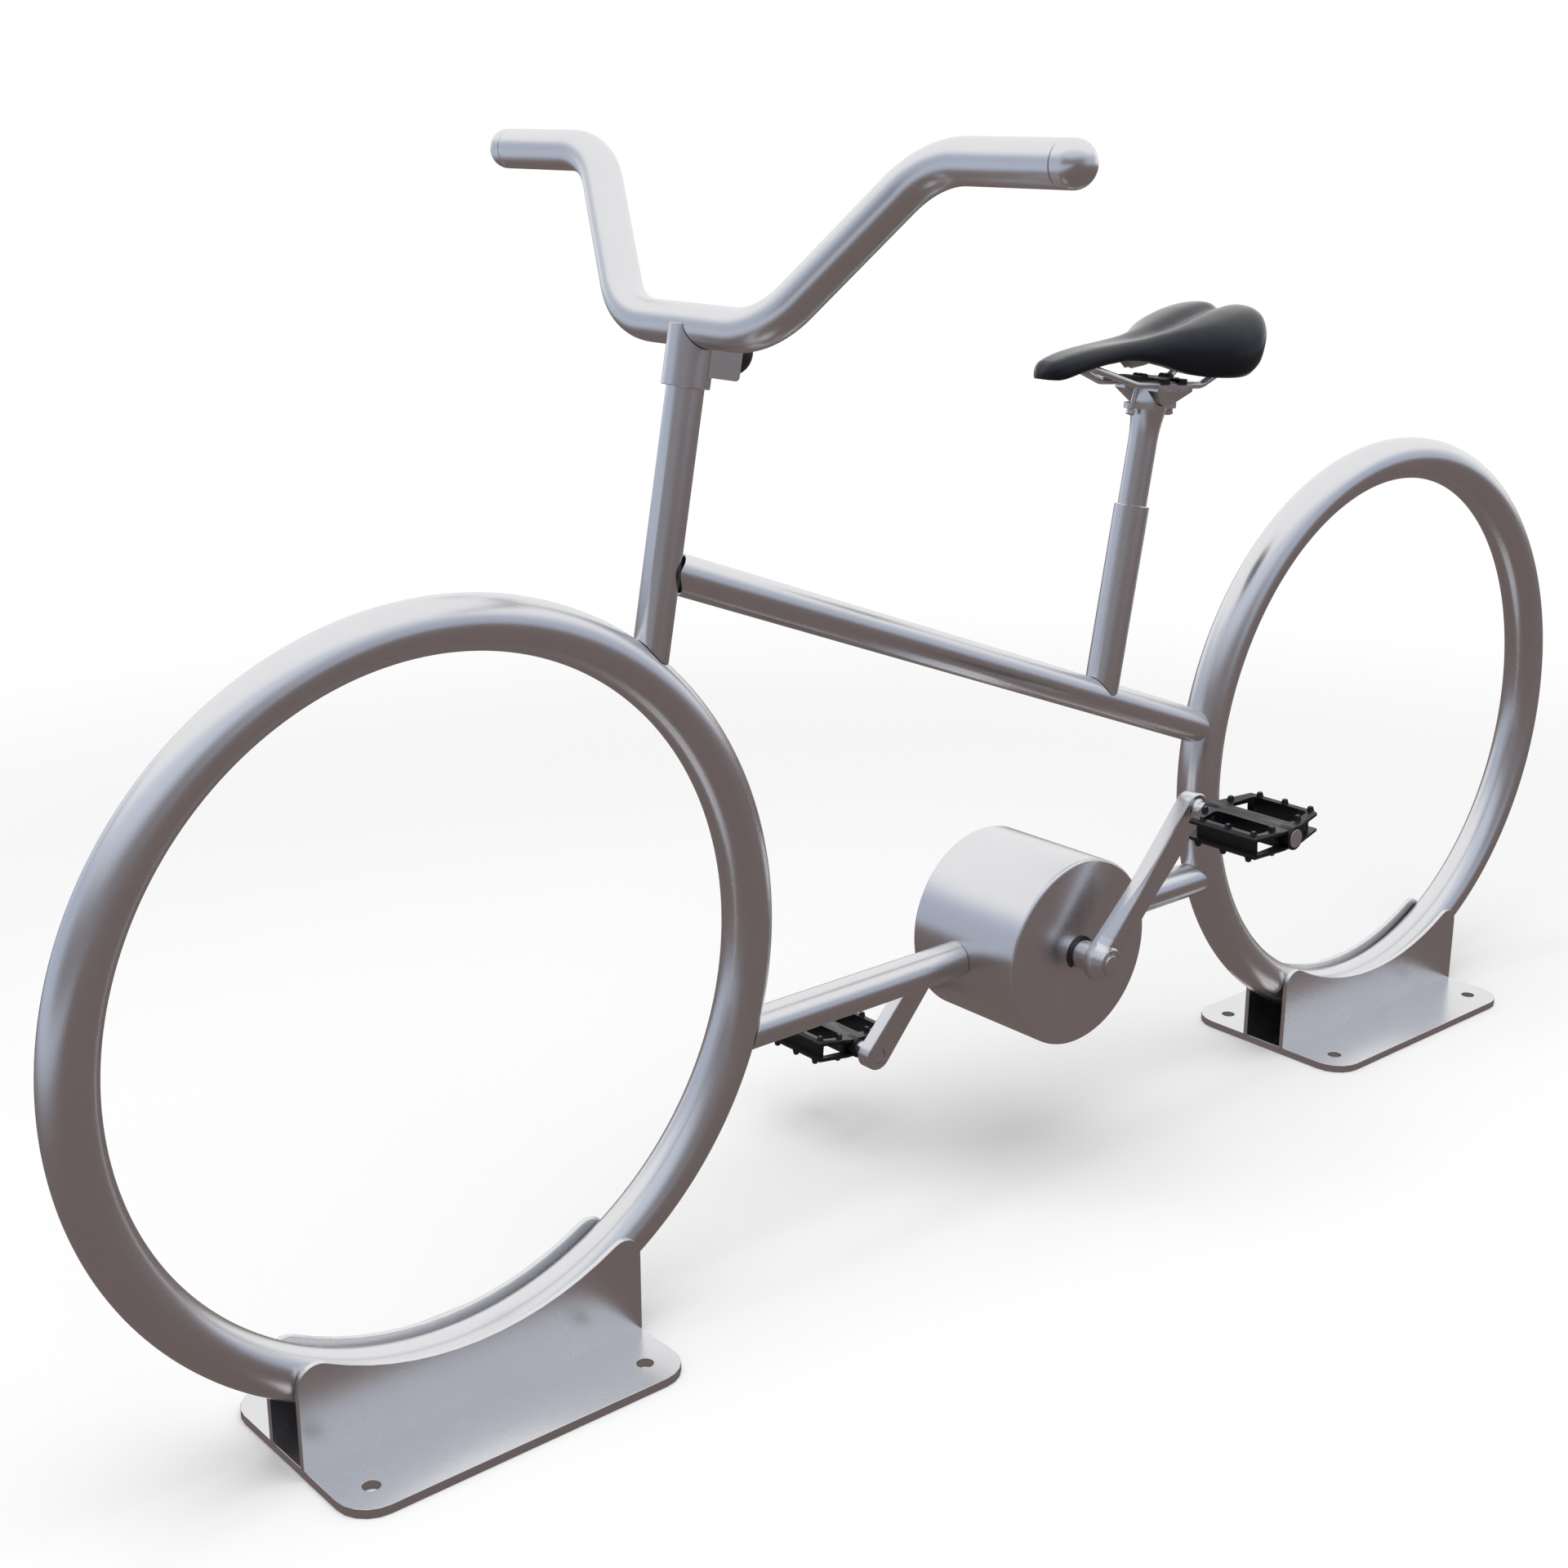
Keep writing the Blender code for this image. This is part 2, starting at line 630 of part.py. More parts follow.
def bake_in_place(item, material):
    item = bake(item)
    place(item, item.matrix_world.copy(), material)
    return smooth(item)


def build_sleeve(bar_cut):
    """Stem sleeve round the top of the column, coped on the handlebar."""
    matrix = along(COLUMN_FOOT, COLUMN_AXIS)
    low = BAR_HEIGHT - SLEEVE_LENGTH
    profile = ring_profile(SLEEVE_RADIUS, COLUMN_RADIUS + JOINT_GAP, low, BAR_HEIGHT)
    sleeve = turned("stem_sleeve", profile, matrix, SATIN_STEEL, TUBE_SIDES + 4, closed=True)
    cut(sleeve, bar_cut)
    return bake_in_place(sleeve, SATIN_STEEL)


def bar_corners():
    """Left half of the handlebar's centre line, from the stem out."""
    rise = BAR_LEG_LENGTH * math.sin(BAR_LEG_ANGLE)
    lower = BAR_CENTRE + BAR_CROSS_HALF * LEFT
    upper = lower + Vector(
        (
            -rise * math.sin(BAR_SWEEP),
            BAR_LEG_LENGTH * math.cos(BAR_LEG_ANGLE),
            rise * math.cos(BAR_SWEEP),
        )
    )
    tip = Vector((upper.x, BAR_HALF_WIDTH, upper.z))
    return lower, upper, tip


def build_handlebar():
    lower, upper, tip = bar_corners()
    mirror = Matrix.Diagonal((1.0, -1.0, 1.0))
    corners = [mirror @ tip, mirror @ upper, mirror @ lower, lower, upper, tip]
    bar = pipe("handlebar", bent_path(corners, BAR_BEND_RADIUS), BAR_RADIUS, SATIN_STEEL, BAR_RESOLUTION)
    for side_name, side in (("left", 1), ("right", -1)):
        end = Vector((tip.x, side * BAR_HALF_WIDTH, tip.z))
        inward = -side * LEFT
        bore_start = end - inward * CUT_OVERRUN
        bore_end = end + inward * (PLUG_SPIGOT_LENGTH + JOINT_GAP)
        bore = rod(f"bar_bore_{side_name}", bore_start, bore_end, PLUG_SPIGOT_RADIUS + JOINT_GAP)
        cut(bar, as_cutter(bore))
        build_bar_plug(side_name, end, side * LEFT)
    bar = bake_in_place(bar, SATIN_STEEL)

    crossing = rod("bar_clearance", BAR_CENTRE - BAR_CROSS_HALF / 2 * LEFT,
                   BAR_CENTRE + BAR_CROSS_HALF / 2 * LEFT, BAR_RADIUS + JOINT_GAP)
    return as_cutter(crossing)


def build_bar_plug(side_name, end, outward):
    """Domed end plug with a spigot inside the handlebar."""
    dome = PLUG_LENGTH - PLUG_SHOULDER
    profile = [(0.0, PLUG_LENGTH)]
    count = 5
    for step in range(1, count + 1):
        angle = math.pi / 2 * (1 - step / count)
        profile.append((BAR_RADIUS * math.cos(angle), PLUG_SHOULDER + dome * math.sin(angle)))
    profile.append((BAR_RADIUS, JOINT_GAP))
    profile.append((PLUG_SPIGOT_RADIUS, JOINT_GAP))
    profile.append((PLUG_SPIGOT_RADIUS, -PLUG_SPIGOT_LENGTH))
    profile.append((0.0, -PLUG_SPIGOT_LENGTH))
    turned(f"bar_plug_{side_name}", profile, along(end, outward), SATIN_STEEL, SMALL_SIDES)


def build_control_housing(bar_cut):
    """Small housing behind the stem sleeve with a round knob that faces the rider."""
    low = BAR_HEIGHT - SLEEVE_LENGTH + HOUSING_RISE
    centre_height = low + HOUSING_HEIGHT / 2
    centre = COLUMN_FOOT + centre_height * COLUMN_AXIS
    outline = rounded_rectangle(2 * HOUSING_REACH, HOUSING_HEIGHT, HOUSING_EDGE_RADIUS, 3)
    matrix = frame_at(centre, -COLUMN_BACK, -LEFT)
    housing = flat("control_housing", [outline], HOUSING_WIDTH, matrix, SATIN_STEEL)
    front_half = rod(
        "housing_front_clearance",
        COLUMN_FOOT + (low - HOUSING_HEIGHT) * COLUMN_AXIS,
        COLUMN_FOOT + (low + 2 * HOUSING_HEIGHT) * COLUMN_AXIS,
        SLEEVE_RADIUS + JOINT_GAP,
        sides=TUBE_SIDES + 4,
    )
    cut(housing, as_cutter(front_half))
    half_space = block(
        "housing_half_clearance",
        (2 * HOUSING_REACH, 2 * HOUSING_WIDTH, 3 * HOUSING_HEIGHT),
        frame_at(centre - HOUSING_REACH * COLUMN_BACK, -COLUMN_BACK, COLUMN_AXIS),
    )
    cut(housing, as_cutter(half_space))
    cut(housing, bar_cut)
    rear_face = centre + HOUSING_REACH * COLUMN_BACK
    socket = rod(
        "knob_socket",
        rear_face - (KNOB_STEM_LENGTH + JOINT_GAP) * COLUMN_BACK,
        rear_face + CUT_OVERRUN * COLUMN_BACK,
        KNOB_STEM_RADIUS + JOINT_GAP,
        sides=SMALL_SIDES,
    )
    cut(housing, as_cutter(socket))
    bake_in_place(housing, SATIN_STEEL)

    profile = [(0.0, KNOB_DEPTH)]
    dome = KNOB_DEPTH - KNOB_SKIRT
    count = 5
    for step in range(1, count + 1):
        angle = math.pi / 2 * (1 - step / count)
        profile.append((KNOB_RADIUS * math.cos(angle), KNOB_SKIRT + dome * math.sin(angle)))
    profile.append((KNOB_RADIUS, JOINT_GAP))
    profile.append((KNOB_STEM_RADIUS, JOINT_GAP))
    profile.append((KNOB_STEM_RADIUS, -KNOB_STEM_LENGTH))
    profile.append((0.0, -KNOB_STEM_LENGTH))
    turned("control_knob", profile, along(rear_face, COLUMN_BACK), BLACK_RUBBER)


def block(name, size, matrix, material=None):
    """Rectangular box of a full size centred on the matrix."""
    bpy.ops.mesh.primitive_cube_add(size=1.0)
    item = bpy.context.object
    item.name = name
    item.data.transform(Matrix.Diagonal((*size, 1.0)))
    return place(item, matrix, material)


def build_top_tube(rear_cut):
    """Top tube with a coped open mouth at the column and a coped end on the rear ring."""
    tube = rod("top_tube", TOP_TUBE_START, TOP_TUBE_END, TOP_TUBE_RADIUS, SATIN_STEEL)
    reach = 2 * TOP_TUBE_RADIUS + CUT_OVERRUN
    cope = rod(
        "top_tube_cope",
        TOP_TUBE_START - reach * COLUMN_AXIS,
        TOP_TUBE_START + reach * COLUMN_AXIS,
        COLUMN_RADIUS + TOP_TUBE_COPE_GAP,
    )
    bore = rod(
        "top_tube_bore",
        TOP_TUBE_START,
        TOP_TUBE_START + TOP_TUBE_MOUTH_DEPTH * TOP_TUBE_BACK,
        TOP_TUBE_RADIUS - TOP_TUBE_WALL,
    )
    cut(tube, as_cutter(cope))
    cut(tube, as_cutter(bore))
    cut(tube, rear_cut)
    return bake_in_place(tube, SATIN_STEEL)


def build_seat_tube():
    """Seat tube standing on the top tube, bored for the post, with a set screw behind."""
    top = SEAT_FOOT + SEAT_TUBE_LENGTH * SEAT_AXIS
    tube = rod("seat_tube", SEAT_FOOT, top, SEAT_TUBE_RADIUS, SATIN_STEEL)
    reach = 2 * SEAT_TUBE_RADIUS
    saddle_cut = rod(
        "seat_tube_cope",
        SEAT_FOOT - reach * TOP_TUBE_BACK,
        SEAT_FOOT + reach * TOP_TUBE_BACK,
        TOP_TUBE_RADIUS + JOINT_GAP,
    )
    bore = rod(
        "seat_tube_bore",
        top - SEAT_BORE_DEPTH * SEAT_AXIS,
        top + CUT_OVERRUN * SEAT_AXIS,
        POST_RADIUS + JOINT_GAP,
    )
    screw_centre = top - POST_SCREW_DROP * SEAT_AXIS
    outward = COLUMN_BACK
    screw_hole = rod(
        "post_screw_hole",
        screw_centre,
        screw_centre + (SEAT_TUBE_RADIUS + CUT_OVERRUN) * outward,
        POST_SCREW_RADIUS + JOINT_GAP,
        sides=SMALL_SIDES,
    )
    cut(tube, as_cutter(saddle_cut))
    cut(tube, as_cutter(bore))
    cut(tube, as_cutter(screw_hole))
    bake_in_place(tube, SATIN_STEEL)

    screw_start = screw_centre + (POST_RADIUS + JOINT_GAP) * outward
    profile = solid_profile([(POST_SCREW_RADIUS, 0.0, POST_SCREW_LENGTH)])
    screw = turned("seat_post_screw", profile, along(screw_start, outward), DARK_STEEL, SMALL_SIDES)
    hex_depth = POST_SCREW_LENGTH / 2
    hexagon = rod(
        "post_screw_hexagon",
        screw_start + hex_depth * outward,
        screw_start + (POST_SCREW_LENGTH + CUT_OVERRUN) * outward,
        POST_SCREW_RADIUS / 2,
        sides=6,
    )
    cut(screw, as_cutter(hexagon))


def build_lower_tubes(front_cut, rear_cut, drum_cut):
    """Horizontal tubes from the drum to the two rings."""
    middle = Vector((DRIVE_CENTRE.x, 0.0, LOWER_TUBE_HEIGHT))
    front_end = Vector((FRONT_RING_CENTRE.x - LOWER_TUBE_RING_RUN, 0.0, LOWER_TUBE_HEIGHT))
    rear_end = Vector((REAR_RING_CENTRE.x + LOWER_TUBE_RING_RUN, 0.0, LOWER_TUBE_HEIGHT))
    for name, end, ring_cut in (
        ("front_lower_tube", front_end, front_cut),
        ("rear_lower_tube", rear_end, rear_cut),
    ):
        tube = rod(name, middle, end, LOWER_TUBE_RADIUS, SATIN_STEEL)
        cut(tube, drum_cut)
        cut(tube, ring_cut)
        bake_in_place(tube, SATIN_STEEL)


def drive_frame(side):
    """Frame on the drive axis with Z pointing out to one side of the bike."""
    return along(DRIVE_CENTRE, side * LEFT)


def build_drum():
    """Drum shell, two covers with bearings, stator, rotor and spindle."""
    drum_cut = turned(
        "drum_clearance",
        solid_profile([(DRUM_RADIUS + JOINT_GAP, -DRUM_LENGTH, DRUM_LENGTH)]),
        drive_frame(1),
        None,
        DRUM_STEPS,
    )
    as_cutter(drum_cut)
    half_shell = DRUM_LENGTH / 2 - COVER_THICKNESS - JOINT_GAP
    shell_bore = DRUM_RADIUS - DRUM_WALL
    turned(
        "drum_shell",
        ring_profile(DRUM_RADIUS, shell_bore, -half_shell, half_shell),
        drive_frame(1),
        SATIN_STEEL,
        DRUM_STEPS,
        closed=True,
    )
    for side_name, side in (("left", 1), ("right", -1)):
        build_cover(side_name, side, shell_bore)
    build_stator(shell_bore)
    build_rotor()
    return drum_cut


def build_cover(side_name, side, shell_bore):
    """End cover with a round rim, a spigot in the shell and a hub for the bearing."""
    face = DRUM_LENGTH / 2
    back = face - COVER_THICKNESS
    spigot = back - COVER_SPIGOT_LENGTH
    hub = back - COVER_HUB_LENGTH
    hole = COLLAR_RADIUS + JOINT_GAP
    seat = BEARING_RADIUS + JOINT_GAP
    seat_top = hub + BEARING_WIDTH + 2 * JOINT_GAP
    rim = [
        (DRUM_RADIUS - COVER_EDGE_RADIUS + COVER_EDGE_RADIUS * math.sin(angle),
         face - COVER_EDGE_RADIUS + COVER_EDGE_RADIUS * math.cos(angle))
        for angle in (0.0, math.pi / 4, math.pi / 2)
    ]
    profile = [(hole, face)] + rim + [
        (DRUM_RADIUS, back),
        (shell_bore - JOINT_GAP, back),
        (shell_bore - JOINT_GAP, spigot),
        (shell_bore - DRUM_WALL, spigot),
        (shell_bore - DRUM_WALL, back),
        (COVER_HUB_RADIUS, back),
        (COVER_HUB_RADIUS, hub),
        (seat, hub),
        (seat, seat_top),
        (hole, seat_top),
    ]
    turned(f"drum_cover_{side_name}", profile, drive_frame(side), SATIN_STEEL, DRUM_STEPS, closed=True)
    collar_low = hub + BEARING_WIDTH + 2 * JOINT_GAP
    turned(
        f"bearing_{side_name}",
        ring_profile(BEARING_RADIUS, SPINDLE_RADIUS + JOINT_GAP, hub + JOINT_GAP, collar_low - JOINT_GAP),
        drive_frame(side),
        DARK_STEEL,
        closed=True,
    )
    turned(
        f"spindle_collar_{side_name}",
        ring_profile(COLLAR_RADIUS, SPINDLE_RADIUS + JOINT_GAP, collar_low + JOINT_GAP, face + COLLAR_LENGTH),
        drive_frame(side),
        BRIGHT_ALUMINIUM,
        closed=True,
    )
    clip_low = face + JOINT_GAP
    turned(
        f"retaining_clip_{side_name}",
        ring_profile(CLIP_RADIUS, COLLAR_RADIUS + JOINT_GAP, clip_low, clip_low + CLIP_THICKNESS),
        drive_frame(side),
        DARK_STEEL,
        closed=True,
    )


def build_stator(shell_bore):
    """Ring of inward teeth that carries the windings, pressed in the shell."""
    outer = shell_bore - JOINT_GAP
    half_angle = math.asin(STATOR_TOOTH_WIDTH / 2 / STATOR_BORE_RADIUS)
    root_angle = math.asin(STATOR_TOOTH_WIDTH / 2 / STATOR_ROOT_RADIUS)
    inner = []
    for tooth in range(STATOR_TEETH):
        middle = 2 * math.pi * tooth / STATOR_TEETH
        for radius, angle in (
            (STATOR_ROOT_RADIUS, middle - root_angle),
            (STATOR_BORE_RADIUS, middle - half_angle),
            (STATOR_BORE_RADIUS, middle + half_angle),
            (STATOR_ROOT_RADIUS, middle + root_angle),
        ):
            inner.append((radius * math.cos(angle), radius * math.sin(angle)))
    outlines = [circle_points((0.0, 0.0), outer, DRUM_STEPS), inner]
    flat("stator", outlines, STATOR_LENGTH, drive_frame(1), DARK_STEEL)


def build_rotor():
    """Magnet rotor on the spindle, and the stepped spindle through the drum."""
    half = ROTOR_LENGTH / 2
    inside = ROTOR_RADIUS - ROTOR_RIM
    bore = SPINDLE_RADIUS + JOINT_GAP
    profile = [
        (ROTOR_RADIUS, half),
        (ROTOR_RADIUS, -half),
        (inside, -half),
        (inside, -ROTOR_WEB / 2),
        (ROTOR_HUB_RADIUS, -ROTOR_WEB / 2),
        (ROTOR_HUB_RADIUS, -half),
        (bore, -half),
        (bore, half),
        (ROTOR_HUB_RADIUS, half),
        (ROTOR_HUB_RADIUS, ROTOR_WEB / 2),
        (inside, ROTOR_WEB / 2),
        (inside, half),
    ]
    turned("rotor", profile, drive_frame(1), DARK_STEEL, DRUM_STEPS // 2, closed=True)
    shoulder = DRUM_LENGTH / 2 + COLLAR_LENGTH
    tip = CRANK_BOSS_BACK + CRANK_BOSS_LENGTH - CRANK_CAP_DEPTH - JOINT_GAP
    profile = solid_profile(
        [
            (SPINDLE_END_RADIUS, shoulder, tip),
            (SPINDLE_RADIUS, -shoulder, shoulder),
            (SPINDLE_END_RADIUS, -tip, -shoulder),
        ]
    )
    turned("spindle", profile, drive_frame(1), BRIGHT_ALUMINIUM, SMALL_SIDES)


def crank_outline():
    """Arm outline from the boss to the round pedal end, waisted between them."""
    waist = CRANK_BOSS_RADIUS * 2
    boss_angle = math.asin(CRANK_ARM_HALF_WIDTH / CRANK_BOSS_RADIUS)
    points = arc_points((0.0, 0.0), CRANK_BOSS_RADIUS, boss_angle, 2 * math.pi - boss_angle, 14)
    points.append((waist, -CRANK_ARM_HALF_WIDTH))
    points += arc_points((CRANK_LENGTH, 0.0), CRANK_END_RADIUS, -math.pi / 2, math.pi / 2, 10)
    points.append((waist, CRANK_ARM_HALF_WIDTH))
    return points


def crank_facet(name, edge, matrix):
    """Wedge that takes one outer edge off the arm: wide at the boss, fading out along the arm."""
    top = CRANK_THICKNESS / 2
    over = CUT_OVERRUN
    start = CRANK_BOSS_RADIUS / 2
    sections = []
    for x, size in ((start, 1.0), (start + CRANK_FACET_LENGTH, 0.0)):
        side = CRANK_ARM_HALF_WIDTH
        inner_y = side - size * CRANK_FACET_WIDTH - over * CRANK_FACET_WIDTH / CRANK_FACET_DEPTH
        outer_y = side + over * CRANK_FACET_WIDTH / CRANK_FACET_DEPTH
        low = top - size * CRANK_FACET_DEPTH - over
        high = top + over
        sections.append([(x, edge * inner_y, high), (x, edge * outer_y, high), (x, edge * outer_y, low)])
    return loft(name, sections, matrix, None)


def build_crank(side_name, side, angle):
    """Forged crank arm leaning outwards from its boss, with its cap and the pedal's spindle."""
    hub = drive_frame(side)
    radial = Vector((math.cos(angle), 0.0, math.sin(angle)))
    outward = side * LEFT
    lean = math.atan2(CRANK_SET_OUT, CRANK_LENGTH)
    arm_direction = math.cos(lean) * radial + math.sin(lean) * outward
    arm_normal = math.cos(lean) * outward - math.sin(lean) * radial
    arm_middle = DRIVE_CENTRE + (CRANK_BOSS_BACK + CRANK_THICKNESS / 2) * outward
    arm = flat(
        f"crank_{side_name}",
        [crank_outline()],
        CRANK_THICKNESS,
        frame_at(arm_middle, arm_direction, arm_normal),
        BRIGHT_ALUMINIUM,
        CRANK_EDGE,
    )
    for edge, edge_name in ((1, "front"), (-1, "rear")):
        facet = crank_facet(f"crank_facet_{edge_name}_{side_name}", edge, arm.matrix_world.copy())
        cut(arm, as_cutter(facet))
    boss_top = CRANK_BOSS_BACK + CRANK_BOSS_LENGTH
    boss = turned(
        f"crank_boss_{side_name}",
        [
            (0.0, boss_top),
            (CRANK_BOSS_FACE_RADIUS, boss_top),
            (CRANK_BOSS_RADIUS, CRANK_BOSS_BACK + CRANK_BOSS_SHOULDER),
            (CRANK_BOSS_RADIUS, CRANK_BOSS_BACK),
            (0.0, CRANK_BOSS_BACK),
        ],
        hub,
        None,
        BOSS_STEPS,
    )
    cut(arm, as_cutter(boss), "UNION")
    hub_back = CRANK_BOSS_BACK - CUT_OVERRUN
    bore = turned(
        f"crank_bore_{side_name}",
        solid_profile(
            [
                (CRANK_CAP_RADIUS + JOINT_GAP, boss_top - CRANK_CAP_DEPTH, boss_top + CUT_OVERRUN),
                (SPINDLE_END_RADIUS + JOINT_GAP, hub_back, boss_top - CRANK_CAP_DEPTH),
            ]
        ),
        hub,
        None,
        SMALL_SIDES,
    )
    cut(arm, as_cutter(bore))
    pedal_face = CRANK_BOSS_BACK + CRANK_SET_OUT + CRANK_THICKNESS
    pedal_axis = DRIVE_CENTRE + CRANK_LENGTH * radial
    thread = turned(
        f"pedal_thread_{side_name}",
        solid_profile(
            [
                (PEDAL_FLARE_RADIUS + JOINT_GAP, 0.0, CRANK_THICKNESS),
                (PEDAL_THREAD_RADIUS + JOINT_GAP, -2 * CRANK_THICKNESS, 0.0),
            ]
        ),
        along(pedal_axis + pedal_face * outward, outward),
        None,
        SMALL_SIDES,
    )
    cut(arm, as_cutter(thread))
    bake_in_place(arm, BRIGHT_ALUMINIUM)

    cap_low = boss_top - CRANK_CAP_DEPTH + JOINT_GAP
    cap_top = boss_top + CRANK_CAP_PROUD
    turned(
        f"crank_cap_{side_name}",
        [
            (0.0, cap_top),
            (CRANK_CAP_DISC_RADIUS - CRANK_CAP_LIP, cap_top),
            (CRANK_CAP_DISC_RADIUS, cap_top - CRANK_CAP_LIP),
            (CRANK_CAP_DISC_RADIUS, boss_top + CRANK_CAP_LIP),
            (CRANK_CAP_RADIUS, boss_top + CRANK_CAP_LIP),
            (CRANK_CAP_RADIUS, cap_low),
            (0.0, cap_low),
        ],
        hub,
        BRIGHT_ALUMINIUM,
        SMALL_SIDES,
    )
    build_pedal(side_name, pedal_axis + pedal_face * outward, outward)


def pedal_outline(shift, inset=0.0):
    """Eight sided tread outline with Y along the spindle; its long sides sit a little to one end."""
    half_edge = PEDAL_EDGE_LENGTH / 2
    width = PEDAL_HALF_WIDTH - inset
    nose = PEDAL_NOSE_HALF_WIDTH
    end = PEDAL_LENGTH / 2 - inset
    points = []
    for side, turn in ((1, 1), (1, -1), (-1, -1), (-1, 1)):
        corner = turn * half_edge + shift
        slope = (turn * PEDAL_LENGTH / 2 - corner) / (PEDAL_HALF_WIDTH - nose)
        pair = [(side * nose, turn * end), (side * width, turn * end - slope * (width - nose))]
        points += pair if turn * side > 0 else pair[::-1]
    return points


def pedal_window(side, shift):
    """One of the two openings between the web and a long side of the tread, with round corners."""
    far = PEDAL_HALF_WIDTH - PEDAL_RIM_WIDTH
    near = PEDAL_RIB_HALF_WIDTH
    corners = [
        (side * near, PEDAL_WINDOW_NEAR_LENGTH / 2 + shift),
        (side * far, PEDAL_WINDOW_FAR_LENGTH / 2 + 2 * shift),
        (side * far, 2 * shift - PEDAL_WINDOW_FAR_LENGTH / 2),
        (side * near, shift - PEDAL_WINDOW_NEAR_LENGTH / 2),
    ]
    return round_corners(corners, PEDAL_WINDOW_CORNER_RADIUS, 2)


def round_corners(corners, radius, count):
    """Closed plane outline with an arc at each corner."""
    points = [Vector((x, y, 0.0)) for x, y in corners]
    outline = []
    for index, corner in enumerate(points):
        after = points[(index + 1) % len(points)]
        arc = bent_path([points[index - 1], corner, after], radius, count)[1:-1]
        outline += [(point.x, point.y) for point in arc]
    return outline


def pedal_dish(face):
    """Cross outline of a tread's shallow dish: level over the web, rising to the long sides."""
    web = PEDAL_RIB_HALF_WIDTH
    lip = PEDAL_HALF_WIDTH - PEDAL_CHAMFER - PEDAL_LIP_WIDTH
    slope = (PEDAL_HALF_HEIGHT - PEDAL_WEB_HALF_HEIGHT) / (lip - web)
    far = PEDAL_HALF_WIDTH + CUT_OVERRUN
    high = PEDAL_WEB_HALF_HEIGHT + slope * (far - web)
    half = [(web, PEDAL_WEB_HALF_HEIGHT), (far, high), (far, high + CUT_OVERRUN)]
    return [(x, face * y) for x, y in half] + [(-x, face * y) for x, y in reversed(half)]


